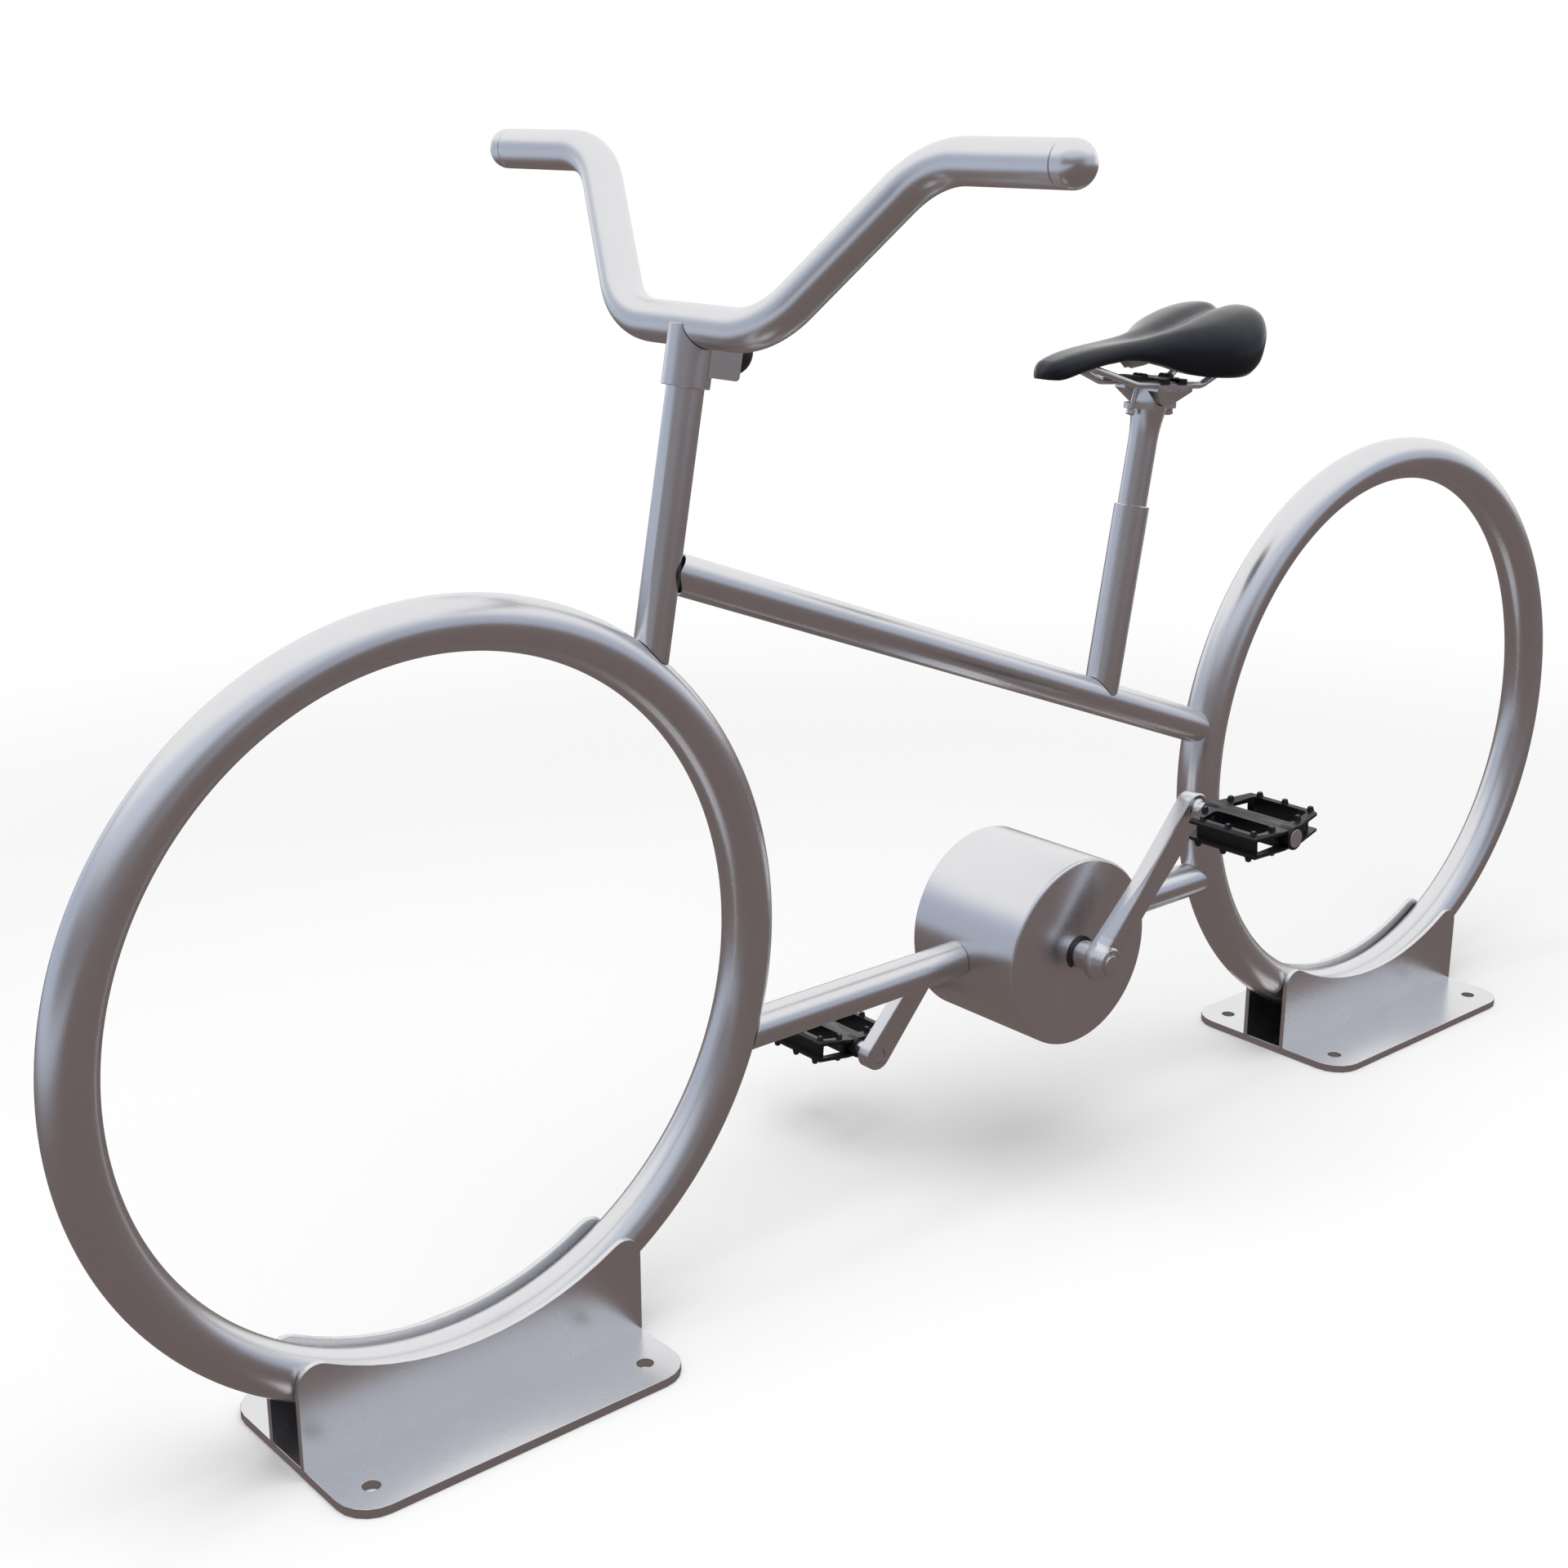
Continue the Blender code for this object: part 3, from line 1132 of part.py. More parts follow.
def build_pedal(side_name, root, outward):
    """Spindle fixed in the crank, and a platform with two rims, a slot between them and square studs."""
    pitch = PEDAL_PITCH * outward.y
    shift = PEDAL_EDGE_SHIFT * outward.y
    up = Vector((math.sin(pitch), 0.0, math.cos(pitch)))
    half_gap = PEDAL_LENGTH / 2 + PEDAL_BARREL_PROUD
    centre = root + (PEDAL_COLLAR_LENGTH + half_gap) * outward
    tread = frame_at(centre, outward.cross(up), up)
    across = frame_at(centre, outward.cross(up), outward)

    thickness = 2 * PEDAL_HALF_HEIGHT
    outline = pedal_outline(shift)
    body = flat(f"pedal_body_{side_name}", [outline], thickness, tread, BLACK_NYLON, PEDAL_CHAMFER)
    for side, window_name in ((1, "front"), (-1, "rear")):
        name = f"{window_name}_{side_name}"
        dish = flat(f"pedal_dish_{name}", [pedal_dish(side)], PEDAL_LENGTH + CUT_OVERRUN, across)
        cut(body, as_cutter(dish))
        window = flat(f"pedal_window_{name}", [pedal_window(side, shift)], 2 * thickness, tread)
        cut(body, as_cutter(window))
    slot_outlines = [pedal_outline(shift, -CUT_OVERRUN), pedal_outline(shift, PEDAL_SLOT_DEPTH)]
    slot_height = thickness - 2 * PEDAL_RIM_THICKNESS
    slot = flat(f"pedal_slot_{side_name}", slot_outlines, slot_height, tread)
    cut(body, as_cutter(slot))
    near = PEDAL_BARREL_RADIUS + PEDAL_CHAMFER
    far = PEDAL_HALF_WIDTH - PEDAL_END_WALL
    for side, gap_name in ((1, "front"), (-1, "rear")):
        end_gap = block(
            f"pedal_end_gap_{gap_name}_{side_name}",
            (far - near, PEDAL_LENGTH + CUT_OVERRUN, slot_height),
            tread @ Matrix.Translation((side * (near + far) / 2, 0.0, 0.0)),
        )
        cut(body, as_cutter(end_gap))
    neck = half_gap - PEDAL_BARREL_LENGTH
    barrel = turned(
        f"pedal_barrel_{side_name}",
        [
            (0.0, half_gap),
            (PEDAL_BARREL_RADIUS, half_gap),
            (PEDAL_BARREL_RADIUS, neck + PEDAL_BARREL_TAPER),
            (PEDAL_BARREL_WAIST_RADIUS, neck),
            (PEDAL_BARREL_WAIST_RADIUS, -neck),
            (PEDAL_BARREL_RADIUS, -neck - PEDAL_BARREL_TAPER),
            (PEDAL_BARREL_RADIUS, -half_gap),
            (0.0, -half_gap),
        ],
        along(centre, outward),
    )
    cut(body, as_cutter(barrel), "UNION")
    cut(body, as_cutter(build_studs(side_name, tread, outward.y)), "UNION")
    bore = rod(
        f"pedal_bore_{side_name}",
        centre - (half_gap + CUT_OVERRUN) * outward,
        centre + (half_gap + CUT_OVERRUN) * outward,
        PEDAL_SPINDLE_RADIUS + JOINT_GAP,
        sides=SMALL_SIDES,
    )
    cap_seat = rod(
        f"pedal_cap_seat_{side_name}",
        centre + (half_gap - PEDAL_CAP_LENGTH) * outward,
        centre + (half_gap + CUT_OVERRUN) * outward,
        PEDAL_CAP_RADIUS + JOINT_GAP,
    )
    cut(body, as_cutter(bore))
    cut(body, as_cutter(cap_seat))
    bake_in_place(body, BLACK_NYLON)

    rod(
        f"pedal_cap_{side_name}",
        centre + (half_gap - PEDAL_CAP_LENGTH + JOINT_GAP) * outward,
        centre + (half_gap + PEDAL_CAP_LENGTH / 6) * outward,
        PEDAL_CAP_RADIUS,
        BRIGHT_ALUMINIUM,
    )
    length = PEDAL_COLLAR_LENGTH + 2 * half_gap - PEDAL_CAP_LENGTH - 2 * JOINT_GAP
    shoulder = PEDAL_COLLAR_LENGTH - JOINT_GAP
    turned(
        f"pedal_spindle_{side_name}",
        [
            (0.0, length),
            (PEDAL_SPINDLE_RADIUS, length),
            (PEDAL_SPINDLE_RADIUS, shoulder),
            (PEDAL_COLLAR_RADIUS, shoulder),
            (PEDAL_COLLAR_RADIUS, JOINT_GAP + PEDAL_FLARE_LENGTH),
            (PEDAL_FLARE_RADIUS, JOINT_GAP),
            (PEDAL_THREAD_RADIUS, JOINT_GAP),
            (PEDAL_THREAD_RADIUS, -CRANK_THICKNESS),
            (0.0, -CRANK_THICKNESS),
        ],
        along(root, outward),
        BRIGHT_ALUMINIUM,
        SMALL_SIDES,
    )


def build_studs(side_name, tread, outward):
    """Ten square tapered studs on each face of a tread, as one mesh."""
    edge = PEDAL_HALF_WIDTH - STUD_EDGE_INSET
    end_drop = (PEDAL_HALF_HEIGHT - PEDAL_WEB_HALF_HEIGHT) * (1 - STUD_END_SPREAD / edge)
    places = []
    for side in (1, -1):
        for step in (-1, 0, 1):
            places.append((side * edge, step * STUD_STEP, 0.0))
        for end in (-1, 1):
            places.append((side * STUD_END_SPREAD, end * (PEDAL_LENGTH / 2 - STUD_END_INSET), end_drop))
    shape = bmesh.new()
    height = STUD_HEIGHT + STUD_EMBED
    middle = PEDAL_HALF_HEIGHT + (STUD_HEIGHT - STUD_EMBED) / 2
    wide = STUD_HALF_WIDTH * math.sqrt(2.0)
    narrow = wide * STUD_HEIGHT / height
    turn = Matrix.Rotation(math.pi / 4, 4, "Z")
    for face, row_shift in ((1, STUD_TOP_SHIFT), (-1, STUD_BOTTOM_SHIFT)):
        for x, y, drop in places:
            shift = 0.0 if drop else row_shift * outward
            stand = Matrix.Translation((x, y + shift, face * (middle - drop))) @ turn
            low, high = (wide, narrow) if face > 0 else (narrow, wide)
            bmesh.ops.create_cone(
                shape, cap_ends=True, segments=4, radius1=low, radius2=high, depth=height, matrix=stand
            )
    mesh = bpy.data.meshes.new("studs")
    shape.to_mesh(mesh)
    shape.free()
    item = bpy.data.objects.new(f"pedal_studs_{side_name}", mesh)
    return place(item, tread)


def clamp_frame():
    """Frame on the rail clamp: X towards the nose, Z up, tilted as the rails are."""
    forward = Vector((math.cos(RAIL_TILT), 0.0, math.sin(RAIL_TILT)))
    up = Vector((-math.sin(RAIL_TILT), 0.0, math.cos(RAIL_TILT)))
    return frame_at(CLAMP_CENTRE, forward, up)


def build_post():
    """Hollow seat post with a flared head and an eared plate for the clamp bolts."""
    bottom = SEAT_TUBE_LENGTH - POST_INSERTION
    head = CLAMP_HEIGHT - HEAD_DROP
    neck = head - HEAD_THICKNESS - HEAD_FLARE_LENGTH
    profile = [(0.0, head - HEAD_THICKNESS / 2)]
    count = 4
    for step in range(count + 1):
        share = 1 - step / count
        radius = POST_RADIUS + (HEAD_FLARE_RADIUS - POST_RADIUS) * share**2
        profile.append((radius, neck + (head - HEAD_THICKNESS / 2 - neck) * share))
    profile.append((POST_RADIUS, bottom))
    profile.append((0.0, bottom))
    post = turned("seat_post", profile, along(SEAT_FOOT, SEAT_AXIS), SATIN_STEEL)
    post = bake_in_place(post, SATIN_STEEL)

    frame = clamp_frame()
    plate_middle = frame @ Matrix.Translation((0.0, 0.0, -HEAD_DROP - HEAD_THICKNESS / 2))
    plate = flat("post_head_plate", [head_outline()], HEAD_THICKNESS, plate_middle)
    cut(post, as_cutter(plate), "UNION")
    trough = rod(
        "post_head_trough",
        frame @ Vector((0.0, -CRADLE_HALF_WIDTH, 0.0)),
        frame @ Vector((0.0, CRADLE_HALF_WIDTH, 0.0)),
        CRADLE_ROCKER_RADIUS + JOINT_GAP,
        sides=32,
    )
    cut(post, as_cutter(trough))
    bore = rod(
        "post_bore",
        SEAT_FOOT + (bottom - CUT_OVERRUN) * SEAT_AXIS,
        SEAT_FOOT + neck * SEAT_AXIS,
        POST_RADIUS - POST_WALL,
    )
    cut(post, as_cutter(bore))
    for end in (1, -1):
        cut(post, bolt_clearance(end, "post"))
    bake_in_place(post, SATIN_STEEL)


def head_outline():
    """Plate seen from above: a waist round the post and one ear for each bolt."""
    ear = BOLT_REACH
    points = []
    for start, centre in ((-math.pi / 2, ear), (math.pi / 2, -ear)):
        points += arc_points((centre, 0.0), HEAD_EAR_RADIUS, start, start + math.pi, 8)
        side = 1 if start < 0 else -1
        points.append((side * HEAD_WAIST_HALF_WIDTH, side * HEAD_WAIST_HALF_WIDTH))
        points.append((-side * HEAD_WAIST_HALF_WIDTH / 2, side * (HEAD_WAIST_HALF_WIDTH + JOINT_GAP)))
    return points


def bolt_line(end):
    """Foot and direction of a clamp bolt in the saddle frame; the bolts lean towards each other."""
    foot = Vector((end * BOLT_REACH, 0.0, -HEAD_DROP - HEAD_THICKNESS))
    direction = Vector((-end * math.sin(BOLT_TOE_IN), 0.0, math.cos(BOLT_TOE_IN)))
    return foot, direction


def bolt_clearance(end, owner):
    frame = clamp_frame()
    foot, direction = bolt_line(end)
    name = f"{owner}_bolt_hole_{'front' if end > 0 else 'rear'}"
    hole = rod(
        name,
        frame @ (foot - direction * 3 * BOLT_HEAD_LENGTH),
        frame @ (foot + direction * 2 * CRADLE_HALF_LENGTH),
        BOLT_RADIUS + JOINT_GAP,
        sides=12,
    )
    return as_cutter(hole)


def build_cradle():
    """Wedge shaped lower clamp with a rocker foot, two rail troughs and a pocket at each end."""
    frame = clamp_frame()
    rocker = CRADLE_ROCKER_RADIUS
    foot = math.sqrt(rocker**2 - CRADLE_FOOT_HALF_LENGTH**2)
    levels = [
        (-JOINT_GAP, CRADLE_HALF_LENGTH, CRADLE_HALF_WIDTH, CRADLE_SET_BACK),
        (-CRADLE_LIP, CRADLE_HALF_LENGTH, CRADLE_HALF_WIDTH, CRADLE_SET_BACK),
        (-foot, CRADLE_FOOT_HALF_LENGTH, CRADLE_FOOT_HALF_WIDTH, 0.0),
    ]
    for share in (2 / 3, 1 / 3, 1 / 12):
        length = CRADLE_FOOT_HALF_LENGTH * share
        levels.append((-math.sqrt(rocker**2 - length**2), length, CRADLE_FOOT_HALF_WIDTH, 0.0))
    sections = []
    for height, length, width, back in levels:
        corners = ((length, width), (-length, width), (-length, -width), (length, -width))
        sections.append([(x - back, y, height) for x, y in corners])
    cradle = loft("clamp_cradle", sections, frame, BRIGHT_ALUMINIUM)
    cut_rail_grooves(cradle, "cradle")
    pocket_length = CRADLE_HALF_LENGTH - CRADLE_WEB_HALF_LENGTH
    for end, end_name in ((1, "front"), (-1, "rear")):
        middle = end * (CRADLE_WEB_HALF_LENGTH + pocket_length / 2 + CUT_OVERRUN / 2)
        pocket = block(
            f"cradle_pocket_{end_name}",
            (pocket_length + CUT_OVERRUN, 2 * CRADLE_POCKET_HALF_WIDTH, 3 * rocker),
            frame @ Matrix.Translation((middle, 0.0, 0.0)),
        )
        cut(cradle, as_cutter(pocket))
    for side, side_name in ((1, "left"), (-1, "right")):
        slot = block(
            f"cradle_slot_{side_name}",
            (CRADLE_SLOT_LENGTH, 2 * CRADLE_SLOT_DEPTH, CRADLE_SLOT_HEIGHT),
            frame @ Matrix.Translation((0.0, side * CRADLE_HALF_WIDTH, -CRADLE_SLOT_DROP)),
        )
        cut(cradle, as_cutter(slot))
        cut(cradle, as_cutter(cradle_recess(f"cradle_recess_{side_name}", side, foot)))
    return bake_in_place(cradle, BRIGHT_ALUMINIUM)


def cradle_recess(name, side, foot):
    """Shallow pocket in a cradle's sloping side, narrowing towards the rocker as the side does."""
    sections = []
    top = CRADLE_LIP + CRADLE_RECESS_WALL / 2
    fall = (CRADLE_HALF_WIDTH - CRADLE_FOOT_HALF_WIDTH) / (foot - CRADLE_LIP)
    for depth, length in (
        (top, CRADLE_SLOT_LENGTH / 2),
        (foot - CRADLE_RECESS_WALL, CRADLE_FOOT_HALF_LENGTH - CRADLE_RECESS_WALL),
    ):
        face = CRADLE_HALF_WIDTH - fall * (depth - CRADLE_LIP)
        inner, outer = face - CRADLE_RECESS_DEPTH, face + CUT_OVERRUN
        corners = ((length, inner), (length, outer), (-length, outer), (-length, inner))
        sections.append([(x, side * y, -depth) for x, y in corners])
    return loft(name, sections, clamp_frame(), None)


def cut_rail_grooves(item, owner):
    frame = clamp_frame()
    reach = 2 * CRADLE_HALF_LENGTH
    for side, side_name in ((1, "left"), (-1, "right")):
        groove = rod(
            f"{owner}_rail_groove_{side_name}",
            frame @ Vector((-reach, side * RAIL_SPREAD, 0.0)),
            frame @ Vector((reach, side * RAIL_SPREAD, 0.0)),
            RAIL_RADIUS + JOINT_GAP,
            sides=SMALL_SIDES,
        )
        cut(item, as_cutter(groove))


def top_clamp_outline():
    """Upper clamp seen from above: two narrow ends for the bolts and four hooks over the rails."""
    quarter = [
        (TOP_CLAMP_HALF_LENGTH, TOP_CLAMP_END_HALF_WIDTH),
        (TOP_CLAMP_HALF_LENGTH - RAIL_RADIUS, TOP_CLAMP_WAIST_HALF_WIDTH - RAIL_RADIUS),
        (TOP_CLAMP_HOOK_FAR, TOP_CLAMP_WAIST_HALF_WIDTH),
        (TOP_CLAMP_HOOK_FAR, TOP_CLAMP_HALF_WIDTH),
        (TOP_CLAMP_HOOK_NEAR, TOP_CLAMP_HALF_WIDTH),
        (TOP_CLAMP_HOOK_NEAR, TOP_CLAMP_WAIST_HALF_WIDTH - RAIL_RADIUS / 3),
    ]
    half = quarter + [(-x, y) for x, y in reversed(quarter)]
    return half + [(x, -y) for x, y in reversed(half)]


def build_top_clamp():
    """Black upper clamp hooked over the rails, with a seat at each end for a barrel nut."""
    frame = clamp_frame()
    middle = frame @ Matrix.Translation((0.0, 0.0, (TOP_CLAMP_RISE + JOINT_GAP) / 2))
    height = TOP_CLAMP_RISE - JOINT_GAP
    clamp = flat("clamp_top", [top_clamp_outline()], height, middle, BLACK_NYLON)
    cut_rail_grooves(clamp, "clamp")
    for end, end_name in ((1, "front"), (-1, "rear")):
        nut = nut_centre(end)
        half = BARREL_NUT_LENGTH / 2 + JOINT_GAP
        seat = rod(
            f"clamp_nut_seat_{end_name}",
            frame @ (nut - half * LEFT),
            frame @ (nut + half * LEFT),
            BARREL_NUT_RADIUS + JOINT_GAP,
            sides=SMALL_SIDES,
        )
        cut(clamp, as_cutter(seat))
        cut(clamp, bolt_clearance(end, "clamp"))
    return bake_in_place(clamp, BLACK_NYLON)


def nut_centre(end):
    """Centre of a barrel nut in the clamp's frame, on its bolt's line."""
    foot, direction = bolt_line(end)
    return foot + (TOP_CLAMP_RISE - NUT_SINK - foot.z) / direction.z * direction


def build_clamp_bolts():
    """Two bolts up through the head's ears, each with a barrel nut across the upper clamp."""
    frame = clamp_frame()
    for end, end_name in ((1, "front"), (-1, "rear")):
        foot, direction = bolt_line(end)
        nut = nut_centre(end)
        world_direction = (frame.to_3x3() @ direction).normalized()
        head = frame @ (foot - 4 * JOINT_GAP * direction)
        tip = (nut - foot).length + BARREL_NUT_RADIUS + BOLT_TIP
        profile = solid_profile([(BOLT_RADIUS, 0.0, tip), (BOLT_HEAD_RADIUS, -BOLT_HEAD_LENGTH, 0.0)])
        bolt = turned(f"clamp_bolt_{end_name}", profile, along(head, world_direction), BRIGHT_ALUMINIUM, 12)
        recess = rod(
            f"bolt_recess_{end_name}",
            head - (BOLT_HEAD_LENGTH + CUT_OVERRUN) * world_direction,
            head - BOLT_HEAD_LENGTH / 2 * world_direction,
            BOLT_HEAD_RADIUS / 2,
            sides=6,
        )
        cut(bolt, as_cutter(recess))
        barrel = rod(
            f"barrel_nut_{end_name}",
            frame @ (nut - BARREL_NUT_LENGTH / 2 * LEFT),
            frame @ (nut + BARREL_NUT_LENGTH / 2 * LEFT),
            BARREL_NUT_RADIUS,
            DARK_STEEL,
            SMALL_SIDES,
        )
        cut(barrel, bolt_clearance(end, "nut"))
        bake_in_place(barrel, DARK_STEEL)


def loft(name, sections, matrix, material):
    """Closed body through rings of points with equal counts; both end rings are filled."""
    shape = bmesh.new()
    rings = [[shape.verts.new(point) for point in section] for section in sections]
    for ring, following in zip(rings, rings[1:]):
        for index in range(len(ring)):
            after = (index + 1) % len(ring)
            shape.faces.new((ring[index], ring[after], following[after], following[index]))
    for ring in (rings[0], rings[-1]):
        shape.faces.new(ring)
    bmesh.ops.recalc_face_normals(shape, faces=shape.faces)
    mesh = bpy.data.meshes.new(name)
    shape.to_mesh(mesh)
    shape.free()
    return smooth(place(bpy.data.objects.new(name, mesh), matrix, material), 50.0)


def mirrored(half):
    """Full ring from its left half, whose first and last points lie on the middle plane."""
    return half + [(x, -y, z) for x, y, z in reversed(half[1:-1])]


def saddle_frame():
    """Level frame on the rail clamp with X towards the nose."""
    return Matrix.Translation(CLAMP_CENTRE)


def saddle_measures(shares):
    """Position, half width, crown, skirt and roof heights of one section, and its channel's depth."""
    station, wide, crown, skirt, roof, channel = shares
    x = SADDLE_NOSE_REACH - SADDLE_LENGTH * station
    low = SADDLE_SKIRT_RISE
    tall = SADDLE_CROWN_RISE - SADDLE_SKIRT_RISE
    top = low + tall * crown
    bottom = low + tall * skirt
    return x, SADDLE_HALF_WIDTH * wide, top, bottom, bottom + (top - bottom) * roof, channel


def tail_pull(station, y):
    """Forward shift that splits the tail into two lobes."""
    share = max(0.0, (station - SADDLE_SPLIT_SHARE) / (1 - SADDLE_SPLIT_SHARE))
    return SADDLE_TAIL_NOTCH * share * share * math.exp(-((y / SADDLE_CHANNEL_HALF_WIDTH) ** 2))


def pad_section(shares):
    """Cover section: crown with a channel, drawn-in sides, and a roof over the shell."""
    x, half, top, bottom, roof, channel = saddle_measures(shares)
    points = []
    for across, up in PAD_OUTSIDE_SHARES:
        y = half * across
        z = bottom + (top - bottom) * up
        z -= channel * SADDLE_CHANNEL_DEPTH * math.exp(-((y / SADDLE_CHANNEL_HALF_WIDTH) ** 2))
        points.append((x + tail_pull(shares[0], y), y, z))
    for across, up in PAD_INSIDE_SHARES:
        y = half * across
        points.append((x + tail_pull(shares[0], y), y, bottom + (roof - bottom) * up))
    return mirrored(points)


def shell_section(shares):
    """Shell section that follows the cover's roof."""
    x, half, _, bottom, roof, _ = saddle_measures(shares)
    over = []
    under = []
    for across, up in PAD_INSIDE_SHARES:
        y = half * across
        pull = tail_pull(shares[0], y)
        z = bottom + (roof - bottom) * up - SHELL_GAP - SHELL_LIP * (1 - up)
        thin = SHELL_THICKNESS * (SHELL_EDGE_SHARE + (1 - SHELL_EDGE_SHARE) * up)
        over.append((x + pull, max(0.0, y - SHELL_GAP), z))
        under.append((x + pull, max(0.0, y - SHELL_GAP - SHELL_THICKNESS), z - thin))
    return mirrored(over[::-1] + under)


def build_saddle():
    """Padded cover with its channel and split tail, the shell under it and the two rails."""
    frame = saddle_frame()
    sections = [pad_section(shares) for shares in SADDLE_SECTION_SHARES]
    loft("saddle_pad", sections, frame, SADDLE_COVER)
    shell_rows = SADDLE_SECTION_SHARES[SHELL_FIRST_SECTION:SHELL_LAST_SECTION]
    shell = loft("saddle_shell", [shell_section(shares) for shares in shell_rows], frame, SHELL_PLASTIC)
    width = 2 * (RAIL_RADIUS + SOCKET_WALL)
    nose = Vector((RAIL_NOSE_REACH, 0.0, RAIL_NOSE_RISE))
    nose_top = SOCKET_NOSE_TOP + SOCKET_NOSE_DROP
    add_socket(shell, "nose", nose, 2 * RAIL_NOSE_SPREAD + width, nose_top, SOCKET_NOSE_TOP)
    for side_name, side in (("left", 1), ("right", -1)):
        tail = Vector((-RAIL_TAIL_REACH, side * RAIL_TAIL_SPREAD, RAIL_TAIL_RISE))
        tail_top = SOCKET_TAIL_TOP + SOCKET_TAIL_RISE
        add_socket(shell, f"tail_{side_name}", tail, width, SOCKET_TAIL_TOP, tail_top)
    for side_name, side in (("left", 1), ("right", -1)):
        path = rail_path(side)
        rail = pipe(f"saddle_rail_{side_name}", path, RAIL_RADIUS, BRIGHT_ALUMINIUM, RAIL_RESOLUTION)
        clearance = pipe(f"rail_clearance_{side_name}", path, RAIL_RADIUS + JOINT_GAP, None, RAIL_RESOLUTION)
        cut(shell, as_cutter(clearance))
    bake_in_place(shell, SHELL_PLASTIC)


def add_socket(shell, name, rail_end, width, inner_top, outer_top):
    """Block under the shell that holds the end of a rail; its top follows the shell."""
    bottom = rail_end.z - RAIL_RADIUS - SOCKET_WALL
    outward = math.copysign(SOCKET_LENGTH, rail_end.x)
    sections = []
    for share, top in ((-3 / 4, inner_top), (1 / 4, outer_top)):
        x = rail_end.x + share * outward
        low_y, high_y = rail_end.y - width / 2, rail_end.y + width / 2
        sections.append([(x, low_y, bottom), (x, high_y, bottom), (x, high_y, top), (x, low_y, top)])
    socket = loft(f"shell_{name}_socket", sections, saddle_frame(), None)
    cut(shell, as_cutter(socket), "UNION")


def rail_path(side):
    """Bent rail from the nose socket, level through the clamp, to the tail socket."""
    drop = math.tan(RAIL_TILT)
    corners = [
        Vector((RAIL_NOSE_REACH, side * RAIL_NOSE_SPREAD, RAIL_NOSE_RISE)),
        Vector((RAIL_FRONT_BEND, side * RAIL_SPREAD, RAIL_FRONT_BEND * drop)),
        Vector((-RAIL_REAR_BEND, side * RAIL_SPREAD, -RAIL_REAR_BEND * drop)),
        Vector((-RAIL_TAIL_REACH, side * RAIL_TAIL_SPREAD, RAIL_TAIL_RISE)),
    ]
    frame = saddle_frame()
    return bent_path([frame @ corner for corner in corners], 5 * RAIL_RADIUS, 4)


def build_bike():
    front_cut, rear_cut = build_rings()
    for end_name, centre in (("front", FRONT_RING_CENTRE), ("rear", REAR_RING_CENTRE)):
        build_foot(end_name, centre)
    bar_cut = build_handlebar()
    build_column(front_cut)
    build_sleeve(bar_cut)
    build_control_housing(bar_cut)
    build_top_tube(rear_cut)
    build_seat_tube()
    drum_cut = build_drum()
    build_lower_tubes(front_cut, rear_cut, drum_cut)
    build_crank("left", 1, CRANK_ANGLE)
    build_crank("right", -1, CRANK_ANGLE + math.pi)
    build_post()
    build_cradle()
    build_top_clamp()
    build_clamp_bolts()
    build_saddle()


build_bike()
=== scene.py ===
import math

import bmesh
import bpy
import numpy as np
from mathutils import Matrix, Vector


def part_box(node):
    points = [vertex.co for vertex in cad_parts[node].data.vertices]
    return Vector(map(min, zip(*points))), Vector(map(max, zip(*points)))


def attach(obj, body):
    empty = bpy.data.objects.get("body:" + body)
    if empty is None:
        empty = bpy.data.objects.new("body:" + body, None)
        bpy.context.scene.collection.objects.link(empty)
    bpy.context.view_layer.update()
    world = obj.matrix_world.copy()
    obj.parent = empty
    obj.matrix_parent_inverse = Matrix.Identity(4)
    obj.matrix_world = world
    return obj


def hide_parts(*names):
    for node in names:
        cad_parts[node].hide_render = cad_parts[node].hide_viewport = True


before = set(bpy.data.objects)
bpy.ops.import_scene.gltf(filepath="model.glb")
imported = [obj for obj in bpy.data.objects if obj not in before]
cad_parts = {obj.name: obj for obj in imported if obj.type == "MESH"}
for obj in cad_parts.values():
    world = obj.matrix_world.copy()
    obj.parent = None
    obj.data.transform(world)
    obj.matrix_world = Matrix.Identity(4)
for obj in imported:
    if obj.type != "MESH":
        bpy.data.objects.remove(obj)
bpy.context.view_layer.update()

# Camera: a plain lens at the height and angle from which the bike is shown,
# with the front ring at the left and the rear ring behind the saddle at the right.
camera = bpy.data.objects.new("camera", bpy.data.cameras.new("camera"))
bpy.context.scene.collection.objects.link(camera)
camera.location = (1.4055, 1.3457, 1.0021)
camera.rotation_euler = (math.radians(72.623), 0.0, math.radians(139.548))
camera.data.lens = 50.0
camera.data.sensor_width = 36.0
camera.data.clip_start = 0.02
bpy.context.scene.camera = camera
bpy.context.scene.view_settings.view_transform = "Standard"


